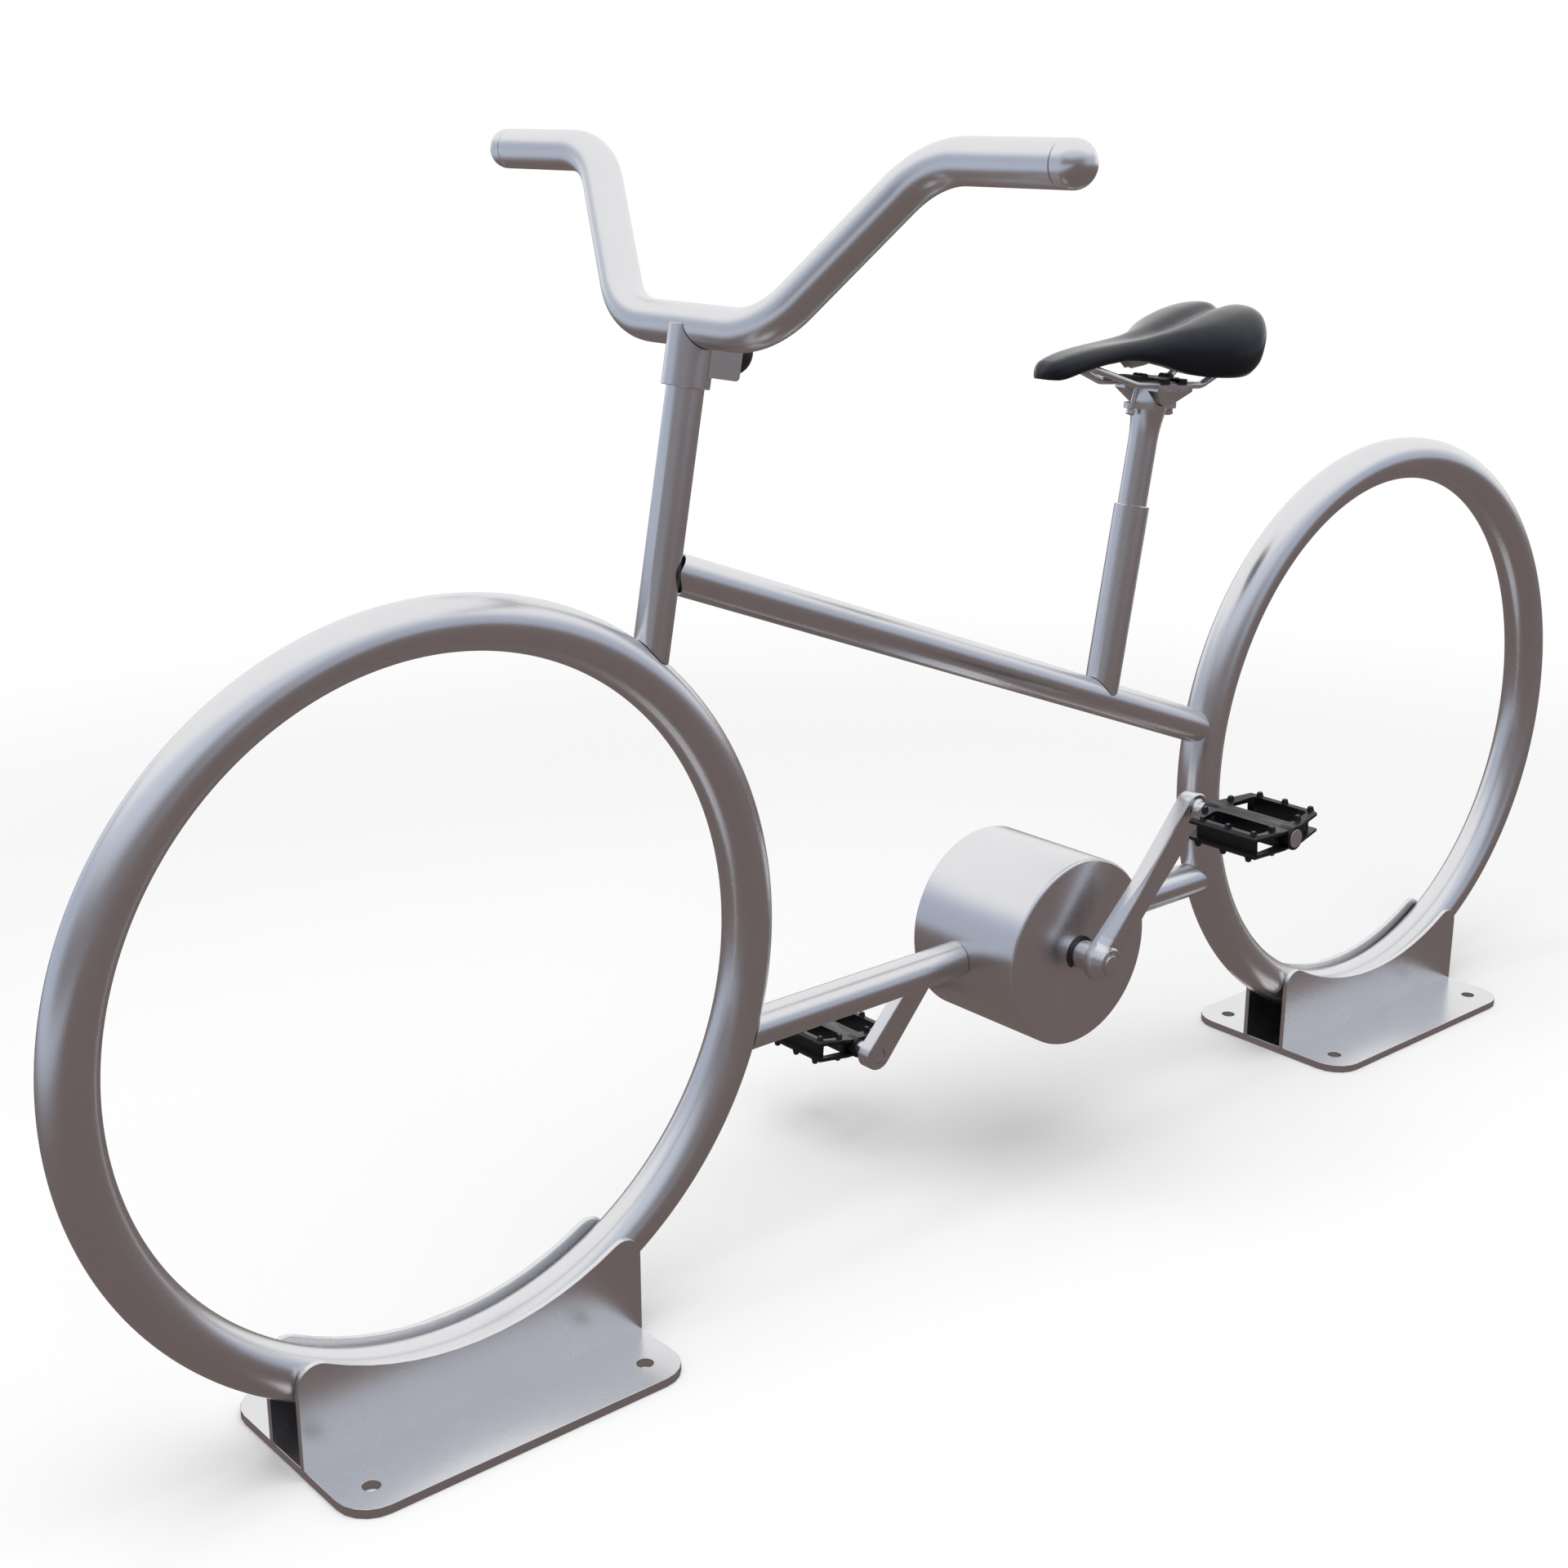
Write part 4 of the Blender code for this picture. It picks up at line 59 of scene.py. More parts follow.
# Floor, backdrop and light: a pale round floor that fades out, white all round, one soft lamp
# overhead, and two cards that only the metal sees: a dull one below and a hazy one at the horizon.
class Wire:
    """A socket in a material. Arithmetic on it adds Math nodes, and node() adds any other node."""

    def __init__(self, tree, socket=None):
        self.tree = tree
        self.socket = socket

    def node(self, kind, settings=None, sockets=None, out=0):
        made = self.tree.nodes.new(kind)
        for name, value in (settings or {}).items():
            if name == "stops":
                while len(made.color_ramp.elements) < len(value):
                    made.color_ramp.elements.new(1.0)
                for stop, (position, colour) in zip(made.color_ramp.elements, value):
                    stop.position = position
                    stop.color = colour
            else:
                setattr(made, name, value)
        for key, value in (sockets or {}).items():
            if isinstance(value, Wire):
                self.tree.links.new(value.socket, made.inputs[key])
            else:
                made.inputs[key].default_value = value
        return Wire(self.tree, made.outputs[out])

    def worked(self, operation, first, second=0.0):
        return self.node("ShaderNodeMath", {"operation": operation}, {0: first, 1: second})

    def __add__(self, other):
        return self.worked("ADD", self, other)

    __radd__ = __add__

    def __sub__(self, other):
        return self.worked("SUBTRACT", self, other)

    def __rsub__(self, other):
        return self.worked("SUBTRACT", other, self)

    def __mul__(self, other):
        return self.worked("MULTIPLY", self, other)

    __rmul__ = __mul__

    def __pow__(self, other):
        return self.worked("POWER", self, other)

    def held(self):
        """The value kept from nothing to one."""
        return self.node("ShaderNodeClamp", None, {0: self})

    def mixed(self, first, second):
        """A colour that goes from first to second as this value goes from nothing to one."""
        return self.node("ShaderNodeMix", {"data_type": "RGBA"}, {0: self, 6: first, 7: second}, 2)


def plain_tree(tree, surface):
    """Empties a node tree and gives it one output, fed by what surface() returns."""
    tree.nodes.clear()
    is_world = surface.__name__ == "sky_light"
    output = tree.nodes.new("ShaderNodeOutputWorld" if is_world else "ShaderNodeOutputMaterial")
    tree.links.new(surface(Wire(tree)).socket, output.inputs["Surface"])


def sky_light(bench):
    """White where the camera, metal or glass looks, and a plain level for matt light."""
    seen = bench.node("ShaderNodeLightPath", out="Is Camera Ray")
    path = Wire(bench.tree, seen.socket.node.outputs["Is Glossy Ray"])
    glass = Wire(bench.tree, seen.socket.node.outputs["Is Transmission Ray"])
    looked = (seen + path + glass).held()
    matt = bench.node("ShaderNodeBackground", None, {0: (1.0, 1.0, 1.0, 1.0), 1: 0.66})
    white = bench.node("ShaderNodeBackground", None, {0: (1.0, 1.0, 1.0, 1.0), 1: 1.0})
    return bench.node("ShaderNodeMixShader", None, {0: looked, 1: matt, 2: white})


def floor_surface(bench):
    """Pale matt floor, fading to nothing from FLOOR_CLEAR to FLOOR_REACH."""
    place = bench.node("ShaderNodeTexCoord", out="Object")
    reach = bench.node("ShaderNodeVectorMath", {"operation": "LENGTH"}, {0: place}, "Value")
    fade = bench.node("ShaderNodeMapRange", {"interpolation_type": "SMOOTHSTEP"},
                      {0: reach, 1: FLOOR_CLEAR, 2: FLOOR_REACH})
    matt = bench.node("ShaderNodeBsdfDiffuse", None, {0: (0.97, 0.97, 0.97, 1.0)})
    clear = bench.node("ShaderNodeBsdfTransparent")
    return bench.node("ShaderNodeMixShader", None, {0: fade, 1: matt, 2: clear})


def ground_card_surface(bench):
    """Ground that metal sees: warm and dull round the bike, hazy beyond its front ring."""
    place = bench.node("ShaderNodeTexCoord", out="Object")
    ahead = bench.node("ShaderNodeVectorMath", {"operation": "DOT_PRODUCT"},
                       {0: place, 1: (0.85, -0.53, 0.0)}, "Value")
    far = eased_range(ahead, 1.3, 2.8)
    colour = far.mixed((0.175, 0.138, 0.130, 1.0), (0.52, 0.57, 0.67, 1.0))
    return bench.node("ShaderNodeEmission", None, {0: colour, 1: 1.0})


def eased_range(value, low, high):
    """Nothing below low, one above high, and a smooth step between them."""
    return value.node("ShaderNodeMapRange", {"interpolation_type": "SMOOTHSTEP"}, {0: value, 1: low, 2: high})


def horizon_card_surface(bench):
    """Wall that metal sees: before the bike it is dull below and blue-grey up to a good height, at
    its sides it is low haze, and behind it there is none."""
    place = bench.node("ShaderNodeTexCoord", out="Object")
    height = bench.node("ShaderNodeSeparateXYZ", None, {0: place}, "Z")
    before = bench.node("ShaderNodeVectorMath", {"operation": "DOT_PRODUCT"},
                        {0: place, 1: (0.72 / CARD_REACH, 0.69 / CARD_REACH, 0.0)}, "Value")
    low = eased_range(before, 0.25, 0.80).mixed((0.47, 0.515, 0.62, 1.0), (0.21, 0.195, 0.20, 1.0))
    colour = low.node("ShaderNodeMix", {"data_type": "RGBA"},
                      {0: eased_range(height, HAZE_FULL, HAZE_TOP), 6: low, 7: (0.66, 0.71, 0.82, 1.0)}, 2)
    thin = eased_range(height - before.held() * WALL_RISE, HAZE_FULL, HAZE_TOP)
    haze = bench.node("ShaderNodeEmission", None, {0: colour, 1: 1.0})
    clear = bench.node("ShaderNodeBsdfTransparent")
    return bench.node("ShaderNodeMixShader", None,
                      {0: (thin + eased_range(before * -1.0, 0.25, 0.75)).held(), 1: haze, 2: clear})


def stage_material(name, surface):
    material = bpy.data.materials.new(name)
    material.use_nodes = True
    plain_tree(material.node_tree, surface)
    return material


FLOOR_CLEAR = 1.1
FLOOR_REACH = 2.6
FLOOR_DROP = 0.0003
CARD_REACH = 30.0
CARD_DROP = 0.004
HAZE_FULL = 8.0
HAZE_TOP = 22.0
WALL_RISE = 38.0

world = bpy.data.worlds.new("studio")
world.use_nodes = True
bpy.context.scene.world = world
plain_tree(world.node_tree, sky_light)

bpy.ops.mesh.primitive_circle_add(vertices=96, radius=FLOOR_REACH, fill_type="NGON",
                                  location=(0.0, 0.0, -FLOOR_DROP))
floor = bpy.context.object
floor.name = "floor"
floor.data.materials.append(stage_material("floor", floor_surface))
floor.visible_glossy = False
floor.visible_diffuse = False

bpy.ops.mesh.primitive_circle_add(vertices=64, radius=CARD_REACH, fill_type="NGON",
                                  location=(0.0, 0.0, -CARD_DROP))
ground_card = bpy.context.object
ground_card.name = "ground_card"
ground_card.data.materials.append(stage_material("ground_card", ground_card_surface))

bpy.ops.mesh.primitive_cylinder_add(vertices=96, radius=CARD_REACH, depth=2 * (HAZE_TOP + WALL_RISE),
                                    end_fill_type="NOTHING")
horizon_card = bpy.context.object
horizon_card.name = "horizon_card"
horizon_card.data.materials.append(stage_material("horizon_card", horizon_card_surface))
horizon_card.visible_diffuse = False
for card in (ground_card, horizon_card):
    card.visible_camera = False
    card.visible_shadow = False
    card.visible_transmission = False

lamp = bpy.data.objects.new("soft_lamp", bpy.data.lights.new("soft_lamp", "AREA"))
bpy.context.scene.collection.objects.link(lamp)
lamp.data.shape = "DISK"
lamp.data.size = 3.4
lamp.data.energy = 62.0
lamp.location = (0.5, 0.7, 3.2)
lamp.visible_glossy = False
lamp.rotation_euler = Vector((0.5, 0.7, 3.0)).to_track_quat("Z", "Y").to_euler()


# Rings: two mild steel tubes bent to full circles and butt welded, satin finished all over;
# they stand upright between the cheeks of the feet and carry the whole frame.
RING_RADIUS = 0.300
RING_TUBE_RADIUS = 0.0216
RING_HEIGHT = 0.33845
WHEELBASE = 1.2
GAP = 0.0003


def skin(name, rings, loop=False, sharp=38.0):
    """Closed skin through rings of points. Each point joins its neighbours on its own ring and on
    the next ring; a loop's last ring joins its first, and a ring drawn to one point is a pole."""
    rows, columns, _ = rings.shape
    grid = np.arange(rows * columns).reshape(rows, columns)
    near = grid if loop else grid[:-1]
    ahead = np.roll(grid, -1, axis=0) if loop else grid[1:]
    quads = np.stack((near, np.roll(near, -1, 1), np.roll(ahead, -1, 1), ahead), -1).reshape(-1, 4)
    mesh = bpy.data.meshes.new(name)
    mesh.vertices.add(rows * columns)
    mesh.vertices.foreach_set("co", rings.astype(np.float32).ravel())
    mesh.loops.add(quads.size)
    mesh.loops.foreach_set("vertex_index", quads.astype(np.int32).ravel())
    mesh.polygons.add(len(quads))
    mesh.polygons.foreach_set("loop_start", np.arange(0, quads.size, 4, dtype=np.int32))
    mesh.update(calc_edges=True)
    shape = bmesh.new()
    shape.from_mesh(mesh)
    bmesh.ops.remove_doubles(shape, verts=shape.verts, dist=0.000002)
    bmesh.ops.recalc_face_normals(shape, faces=shape.faces)
    shape.to_mesh(mesh)
    shape.free()
    mesh.shade_smooth()
    mesh.set_sharp_from_angle(angle=math.radians(sharp))
    piece = bpy.data.objects.new(name, mesh)
    bpy.context.scene.collection.objects.link(piece)
    return piece


def new_finish(name, sockets):
    """A material with its fixed sockets set; returns it, its shader and the point on the piece."""
    material = bpy.data.materials.new(name)
    material.use_nodes = True
    shader = next(n for n in material.node_tree.nodes if n.type == "BSDF_PRINCIPLED")
    feed(shader, sockets)
    return material, shader, Wire(material.node_tree).node("ShaderNodeTexCoord", out="Object")


def feed(shader, sockets):
    for name, value in sockets.items():
        if isinstance(value, Wire):
            value.tree.links.new(value.socket, shader.inputs[name])
        else:
            shader.inputs[name].default_value = value


def metal_finish(name, dark, light, roughness, spread, grain, relief):
    """Satin metal: fine blasted grain in the relief, cloudy handling marks in colour and gloss."""
    material, shader, point = new_finish(name, {"Metallic": 1.0})
    fine = point.node("ShaderNodeTexNoise", None, {"Vector": point, "Scale": grain, "Detail": 3.0})
    cloud = point.node("ShaderNodeTexNoise", None,
                       {"Vector": point, "Scale": grain / 90, "Detail": 5.0, "Roughness": 0.6})
    rubbed = point.node("ShaderNodeTexNoise", None,
                        {"Vector": point, "Scale": grain / 14, "Detail": 4.0, "Roughness": 0.7})
    marks = (cloud * 0.7 + rubbed * 0.3 - 0.25) * 2.0
    feed(shader, {
        "Base Color": marks.held().mixed((*dark, 1.0), (*light, 1.0)),
        "Roughness": roughness + (marks - 0.5) * spread + (fine - 0.5) * (spread / 3),
        "Normal": point.node("ShaderNodeBump", None, {"Strength": relief, "Distance": 0.0002, "Height": fine}),
    })
    return material


def dress(piece, finish, slot, body, *nodes):
    """Gives a piece its finish and the body it moves with, and hides the nodes it stands for; the slot is not used.
    """
    piece.data.materials.clear()
    piece.data.materials.append(finish)
    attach(piece, body)
    if nodes:
        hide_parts(*nodes)
    return piece


def full_circle(columns):
    """Cosines and sines of evenly spaced angles, as two arrays."""
    angle = np.linspace(0.0, 2 * math.pi, columns, endpoint=False)
    return np.cos(angle), np.sin(angle)


def ring_skin(name, centre_x):
    """Torus: centre + (R + r cos b)(cos a, 0, sin a) + r sin b along the left."""
    big_cos, big_sin = (values[:, None] for values in full_circle(224))
    small_cos, small_sin = (values[None, :] for values in full_circle(56))
    reach = RING_RADIUS + RING_TUBE_RADIUS * small_cos
    rings = np.stack((centre_x + reach * big_cos, RING_TUBE_RADIUS * small_sin + 0 * big_cos,
                      RING_HEIGHT + reach * big_sin), -1)
    return skin(name, rings, loop=True)


satin_steel = metal_finish("satin_steel", (0.745, 0.745, 0.76), (0.77, 0.77, 0.785),
                           0.27, 0.018, 1500.0, 0.004)
for end, side in (("front", 1), ("rear", -1)):
    dress(ring_skin(f"{end}_ring_tube", side * WHEELBASE / 2), satin_steel, "satin_steel", "frame", f"{end}_ring")


# Feet: two 8 mm laser-cut base plates with four anchor holes each, and two 5 mm cheek plates
# stood on each, hollowed to the ring; all edges are eased before the satin finish.
def worked_copy(name, node, edge, segments=2, angle=32.0):
    """A node's solid with its doubles merged and level facets joined, its edges eased by a small round."""
    shape = bmesh.new()
    shape.from_mesh(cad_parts[node].data)
    bmesh.ops.remove_doubles(shape, verts=shape.verts, dist=0.000002)
    bmesh.ops.dissolve_limit(shape, angle_limit=math.radians(0.3), verts=shape.verts, edges=shape.edges)
    bmesh.ops.recalc_face_normals(shape, faces=shape.faces)
    shape.verts.index_update()
    points = [vert.co.copy() for vert in shape.verts]
    faces = [[vert.index for vert in face.verts] for face in shape.faces]
    shape.free()
    mesh = bpy.data.meshes.new(name)
    mesh.from_pydata(points, [], faces)
    mesh.shade_smooth()
    piece = bpy.data.objects.new(name, mesh)
    bpy.context.scene.collection.objects.link(piece)
    if edge:
        eased = piece.modifiers.new("eased_edge", "BEVEL")
        eased.width = edge
        eased.segments = segments
        eased.limit_method = "ANGLE"
        eased.angle_limit = math.radians(angle)
        eased.harden_normals = True
        eased.miter_outer = "MITER_ARC"
    else:
        mesh.set_sharp_from_angle(angle=math.radians(angle))
    return piece


def rooted(piece, level, depth):
    """Lowers the underside of a piece into what it stands on, as far as its weld goes."""
    count = len(piece.data.vertices)
    points = np.empty(3 * count, np.float32)
    piece.data.vertices.foreach_get("co", points)
    heights = points[2::3]
    heights[heights < level + 2 * GAP] = level - depth
    piece.data.vertices.foreach_set("co", points)
    piece.data.update()
    return piece


PLATE_THICKNESS = 0.0080
PLATE_EDGE = 0.0007
WELD_DEPTH = 0.0012
for end in ("front", "rear"):
    dress(worked_copy(f"{end}_base_plate", f"{end}_foot_plate", PLATE_EDGE), satin_steel, "satin_steel",
          "frame", f"{end}_foot_plate")
    for side in ("left", "right"):
        cheek = worked_copy(f"{end}_{side}_cheek", f"{end}_cheek_{side}", PLATE_EDGE)
        dress(rooted(cheek, PLATE_THICKNESS, WELD_DEPTH), satin_steel, "satin_steel", "frame",
              f"{end}_cheek_{side}")


# Column and stem sleeve: a 30 mm steel tube welded on the front ring, leaning back, with a wider
# sleeve slid over its top; the sleeve is fish-mouthed to the crossbar and reaches half way up it.
LEAN = math.radians(10.5)
COLUMN_RING_ANGLE = math.radians(41.55)
COLUMN_RADIUS = 0.01506
BAR_HEIGHT = 0.2800
BAR_RADIUS = 0.01685
SLEEVE_RADIUS = 0.0192
SLEEVE_LENGTH = 0.0474
EASE = 0.0005
UP_COLUMN = np.array((-math.sin(LEAN), 0.0, math.cos(LEAN)))
BEHIND = np.array((-math.cos(LEAN), 0.0, -math.sin(LEAN)))
LEFT = np.array((0.0, 1.0, 0.0))
FRONT_RING = np.array((WHEELBASE / 2, 0.0, RING_HEIGHT))
REAR_RING = np.array((-WHEELBASE / 2, 0.0, RING_HEIGHT))
COLUMN_FOOT = FRONT_RING + RING_RADIUS * np.array(
    (-math.sin(COLUMN_RING_ANGLE), 0.0, math.cos(COLUMN_RING_ANGLE)))


def across(direction):
    """Three unit vectors: two square to a direction, the first level where it can be, and its own."""
    along = direction / np.linalg.norm(direction)
    level = LEFT if abs(along[1]) < 0.9 else np.array((0.0, 0.0, 1.0))
    first = np.cross(level, along)
    first /= np.linalg.norm(first)
    return first, np.cross(along, first), along


def off_ring(centre):
    """Room left between points and a ring tube: distance to its centre line less its radius."""
    def room(points):
        offset = points - centre
        out = np.hypot(offset[..., 0], offset[..., 2]) - RING_RADIUS
        return np.hypot(out, offset[..., 1]) - RING_TUBE_RADIUS - GAP
    return room


def off_tube(origin, direction, radius):
    """Room left between points and a straight tube: distance to its axis less its radius."""
    along = direction / np.linalg.norm(direction)

    def room(points):
        offset = points - origin
        square = offset - (offset @ along)[..., None] * along
        return np.linalg.norm(square, axis=-1) - radius
    return room


def short_of(origin, direction):
    """Room left before a level cut: how far points are short of it along a direction."""
    def room(points):
        return (origin - points) @ direction
    return room


def run_until(start, direction, longest, room):
    """Run from each start to where the room is used up, found by halving the span forty times."""
    low = np.zeros(start.shape[:-1])
    high = np.full(start.shape[:-1], longest)
    for _ in range(40):
        middle = (low + high) / 2
        clear = room(start + middle[..., None] * direction) > 0
        low = np.where(clear, middle, low)
        high = np.where(clear, high, middle)
    return low


def coped_tube(name, start, end, radius, start_room, end_room, bore=0.0, depth=0.0, columns=112):
    """Straight tube. At angle a and share k of the radius, its skin lies at k r (cos a, sin a) off
    the axis, and each end stops where the room to its neighbour is used up; a bore opens the start."""
    first, second, along = across(end - start)
    length = np.linalg.norm(end - start)
    cosine, sine = (values[:, None] for values in full_circle(columns))
    rim = cosine * first + sine * second
    middle = (start + end) / 2

    def end_rows(shares, drops, direction, room):
        off = np.asarray(shares)[:, None, None] * radius * rim
        run = run_until(middle + off, direction, length / 2, room)
        return middle + off + (run - np.asarray(drops)[:, None])[..., None] * direction

    lip = EASE / radius
    near = end_rows((1 - lip, 1.0), (0.0, EASE), -along, start_room)
    if bore:
        inner = bore / radius
        mouth = end_rows((inner, inner + lip), (EASE, 0.0), -along, start_room)
        floor_rows = [start + depth * along + share * bore * rim for share in (0.0, 1.0)]
        near = np.concatenate((np.stack(floor_rows), mouth, near))
    else:
        near = np.concatenate((end_rows((0.0, 0.5), (0.0, 0.0), -along, start_room), near))
    far = end_rows((1.0, 1 - lip, 0.5, 0.0), (EASE, 0.0, 0.0, 0.0), along, end_room)
    return skin(name, np.concatenate((near, far)))


def sleeve_skin(name):
    """Sleeve wall as a loop of rows round the column; its top at depth x from the crossbar's axis is
    the bar's height less the root of (bar radius + gap) squared less x squared, level beyond it."""
    cosine, sine = full_circle(240)
    low = BAR_HEIGHT - SLEEVE_LENGTH
    hole = COLUMN_RADIUS + GAP
    clearance = BAR_RADIUS + GAP

    def top(radius):
        depth = radius * cosine
        return BAR_HEIGHT - np.sqrt(np.clip(clearance**2 - depth**2, 0.0, None))

    def row(radius, height):
        flat = radius * (cosine[:, None] * BEHIND + sine[:, None] * LEFT)
        return COLUMN_FOOT + flat + np.broadcast_to(height, cosine.shape)[:, None] * UP_COLUMN

    rows = (row(hole, low), row(SLEEVE_RADIUS - EASE, low), row(SLEEVE_RADIUS, low + EASE),
            row(SLEEVE_RADIUS, top(SLEEVE_RADIUS) - EASE), row(SLEEVE_RADIUS - EASE, top(SLEEVE_RADIUS - EASE)),
            row(hole, top(hole)))
    return skin(name, np.stack(rows), loop=True)


BAR_CENTRE = COLUMN_FOOT + BAR_HEIGHT * UP_COLUMN
column_top = COLUMN_FOOT + (BAR_HEIGHT - BAR_RADIUS - GAP) * UP_COLUMN
dress(coped_tube("column_tube", COLUMN_FOOT, column_top, COLUMN_RADIUS,
                 off_ring(FRONT_RING), short_of(column_top, UP_COLUMN)),
      satin_steel, "satin_steel", "frame", "head_column")
dress(sleeve_skin("column_sleeve"), satin_steel, "satin_steel", "frame", "stem_sleeve")


# Handlebar: one 34 mm steel tube cold bent four times, from a low crossbar through two raised legs
# to the straight grips; a turned plug with a round nose is pressed in each end.
BAR_CROSS_HALF = 0.0855
BAR_LEG_LENGTH = 0.1800
BAR_LEG_ANGLE = math.radians(50.0)
BAR_SWEEP = math.radians(24.9)
BAR_BEND_RADIUS = 0.0750
BAR_HALF_WIDTH = 0.3264
PLUG_LENGTH = 0.0236
PLUG_SHOULDER = 0.0080


def bent_line(corners, radius, steps=14):
    """Centre line of straight runs joined by arcs: centre + r (sin a along - cos a inward)."""
    line = [corners[0]]
    for before, corner, after in zip(corners, corners[1:], corners[2:]):
        come = (corner - before) / np.linalg.norm(corner - before)
        leave = (after - corner) / np.linalg.norm(after - corner)
        turn = math.acos(float(np.clip(come @ leave, -1.0, 1.0)))
        inward = leave - come * (come @ leave)
        inward /= np.linalg.norm(inward)
        centre = corner - come * radius * math.tan(turn / 2) + inward * radius
        angle = (turn * np.arange(steps + 1) / steps)[:, None]
        line.extend(centre + radius * (come * np.sin(angle) - inward * np.cos(angle)))
    line.append(corners[-1])
    return np.array(line)


def carried_round(name, line, radius, upward, ease=0.0, columns=64):
    """Round tube along a line: line + r (cos a side + sin a up), the two vectors square to the
    line's run, with both ends eased and closed on the line."""
    run = np.gradient(line, axis=0)
    run /= np.linalg.norm(run, axis=1)[:, None]
    side = np.cross(upward, run)
    side /= np.linalg.norm(side, axis=1)[:, None]
    up = np.cross(run, side)
    order = np.concatenate(([0, 0, 0], np.arange(1, len(line) - 1), [-1, -1, -1]))
    size = np.full(len(order), radius)
    size[[0, -1]] = 0.0
    size[[1, -2]] = radius - ease
    shift = np.zeros(len(order))
    shift[2], shift[-3] = ease, -ease
    cosine, sine = (values[None, :, None] for values in full_circle(columns))
    centre = (line[order] + shift[:, None] * run[order])[:, None]
    return skin(name, centre + size[:, None, None] * (cosine * side[order][:, None] + sine * up[order][:, None]))


def turned(name, outline, origin, direction, columns=96, loop=False):
    """Turned body: each (radius, height) of the outline goes round the axis,
    origin + height along + radius (cos a first + sin a second)."""
    first, second, along = across(np.asarray(direction, float))
    cosine, sine = (values[None, :, None] for values in full_circle(columns))
    outline = np.asarray(outline, float)[:, None]
    rings = origin + outline[..., 1:] * along + outline[..., :1] * (cosine * first + sine * second)
    return skin(name, rings, loop=loop)


def eased(outline, ease, steps=3):
    """Outline with its inner corners bent: (1 - t)^2 A + 2 t (1 - t) P + t^2 B, where A and B are
    the ease away from the corner P on its two legs."""
    points = np.asarray(outline, float)
    corner = points[1:-1]
    back, ahead = points[:-2] - corner, points[2:] - corner
    ease = np.broadcast_to(ease, len(corner))[:, None]
    first = corner + back * np.minimum(0.45, ease / np.linalg.norm(back, axis=1)[:, None])
    last = corner + ahead * np.minimum(0.45, ease / np.linalg.norm(ahead, axis=1)[:, None])
    t = np.linspace(0.0, 1.0, steps + 1)[None, :, None]
    bends = (1 - t) ** 2 * first[:, None] + 2 * t * (1 - t) * corner[:, None] + t**2 * last[:, None]
    return np.concatenate((points[:1], bends.reshape(-1, points.shape[1]), points[-1:]))


def domed(radius, low, rise, steps=16):
    """Outline of a round nose: radius cos a, low + rise sin a, from the pole down to the shoulder."""
    angle = np.linspace(math.pi / 2, 0.0, steps + 1)
    return np.stack((radius * np.cos(angle), low + rise * np.sin(angle)), -1)


bar_lift = np.array((-math.sin(BAR_SWEEP), 0.0, math.cos(BAR_SWEEP)))
bar_low = BAR_CENTRE + BAR_CROSS_HALF * LEFT
bar_high = bar_low + BAR_LEG_LENGTH * (math.cos(BAR_LEG_ANGLE) * LEFT + math.sin(BAR_LEG_ANGLE) * bar_lift)
bar_tip = np.array((bar_high[0], BAR_HALF_WIDTH, bar_high[2]))
OTHER_SIDE = np.array((1.0, -1.0, 1.0))
bar_line = bent_line([bar_tip * OTHER_SIDE, bar_high * OTHER_SIDE, bar_low * OTHER_SIDE,
                      bar_low, bar_high, bar_tip], BAR_BEND_RADIUS)
dress(carried_round("handlebar_tube", bar_line, BAR_RADIUS, np.cross(LEFT, bar_lift), EASE),
      satin_steel, "satin_steel", "frame", "handlebar")
plug_outline = np.concatenate((domed(BAR_RADIUS, PLUG_SHOULDER, PLUG_LENGTH - PLUG_SHOULDER),
                               [(BAR_RADIUS, GAP + EASE), (BAR_RADIUS - EASE, GAP), (0.0, GAP)]))
for side, name in ((1, "left"), (-1, "right")):
    plug = turned(f"grip_plug_{name}", plug_outline, bar_tip * (1.0, side, 1.0), side * LEFT)
    dress(plug, satin_steel, "satin_steel", "frame", f"bar_plug_{name}")


# Control housing and knob: a small welded steel box behind the sleeve that holds the brake's
# control, with a moulded black rubber knob with a round face on a stem through its rear wall.
HOUSING_HEIGHT = 0.0440
HOUSING_REACH = 0.0378
HOUSING_RISE = 0.0094
KNOB_RADIUS = 0.0180
KNOB_DEPTH = 0.0195
KNOB_SKIRT = 0.0040


def moulded_finish(name, dark, light, roughness, grain, relief):
    """Moulded black: an even spark texture, a slightly paler bloom and duller, scuffed patches."""
    material, shader, point = new_finish(name, {"Metallic": 0.0, "IOR": 1.5})
    spark = point.node("ShaderNodeTexVoronoi", {"feature": "SMOOTH_F1"}, {"Vector": point, "Scale": grain})
    pits = point.node("ShaderNodeTexNoise", None, {"Vector": point, "Scale": grain * 0.6, "Detail": 4.0})
    bloom = point.node("ShaderNodeTexNoise", None, {"Vector": point, "Scale": grain / 40, "Detail": 5.0})
    marks = ((bloom - 0.35) * 2.2).held()
    feed(shader, {
        "Base Color": marks.mixed((*dark, 1.0), (*light, 1.0)),
        "Roughness": roughness + (marks - 0.5) * 0.08 + (pits - 0.5) * 0.10,
        "Normal": point.node("ShaderNodeBump", None,
                             {"Strength": relief, "Distance": 0.0003, "Height": spark * 0.5 + pits * 0.5}),
    })
    return material


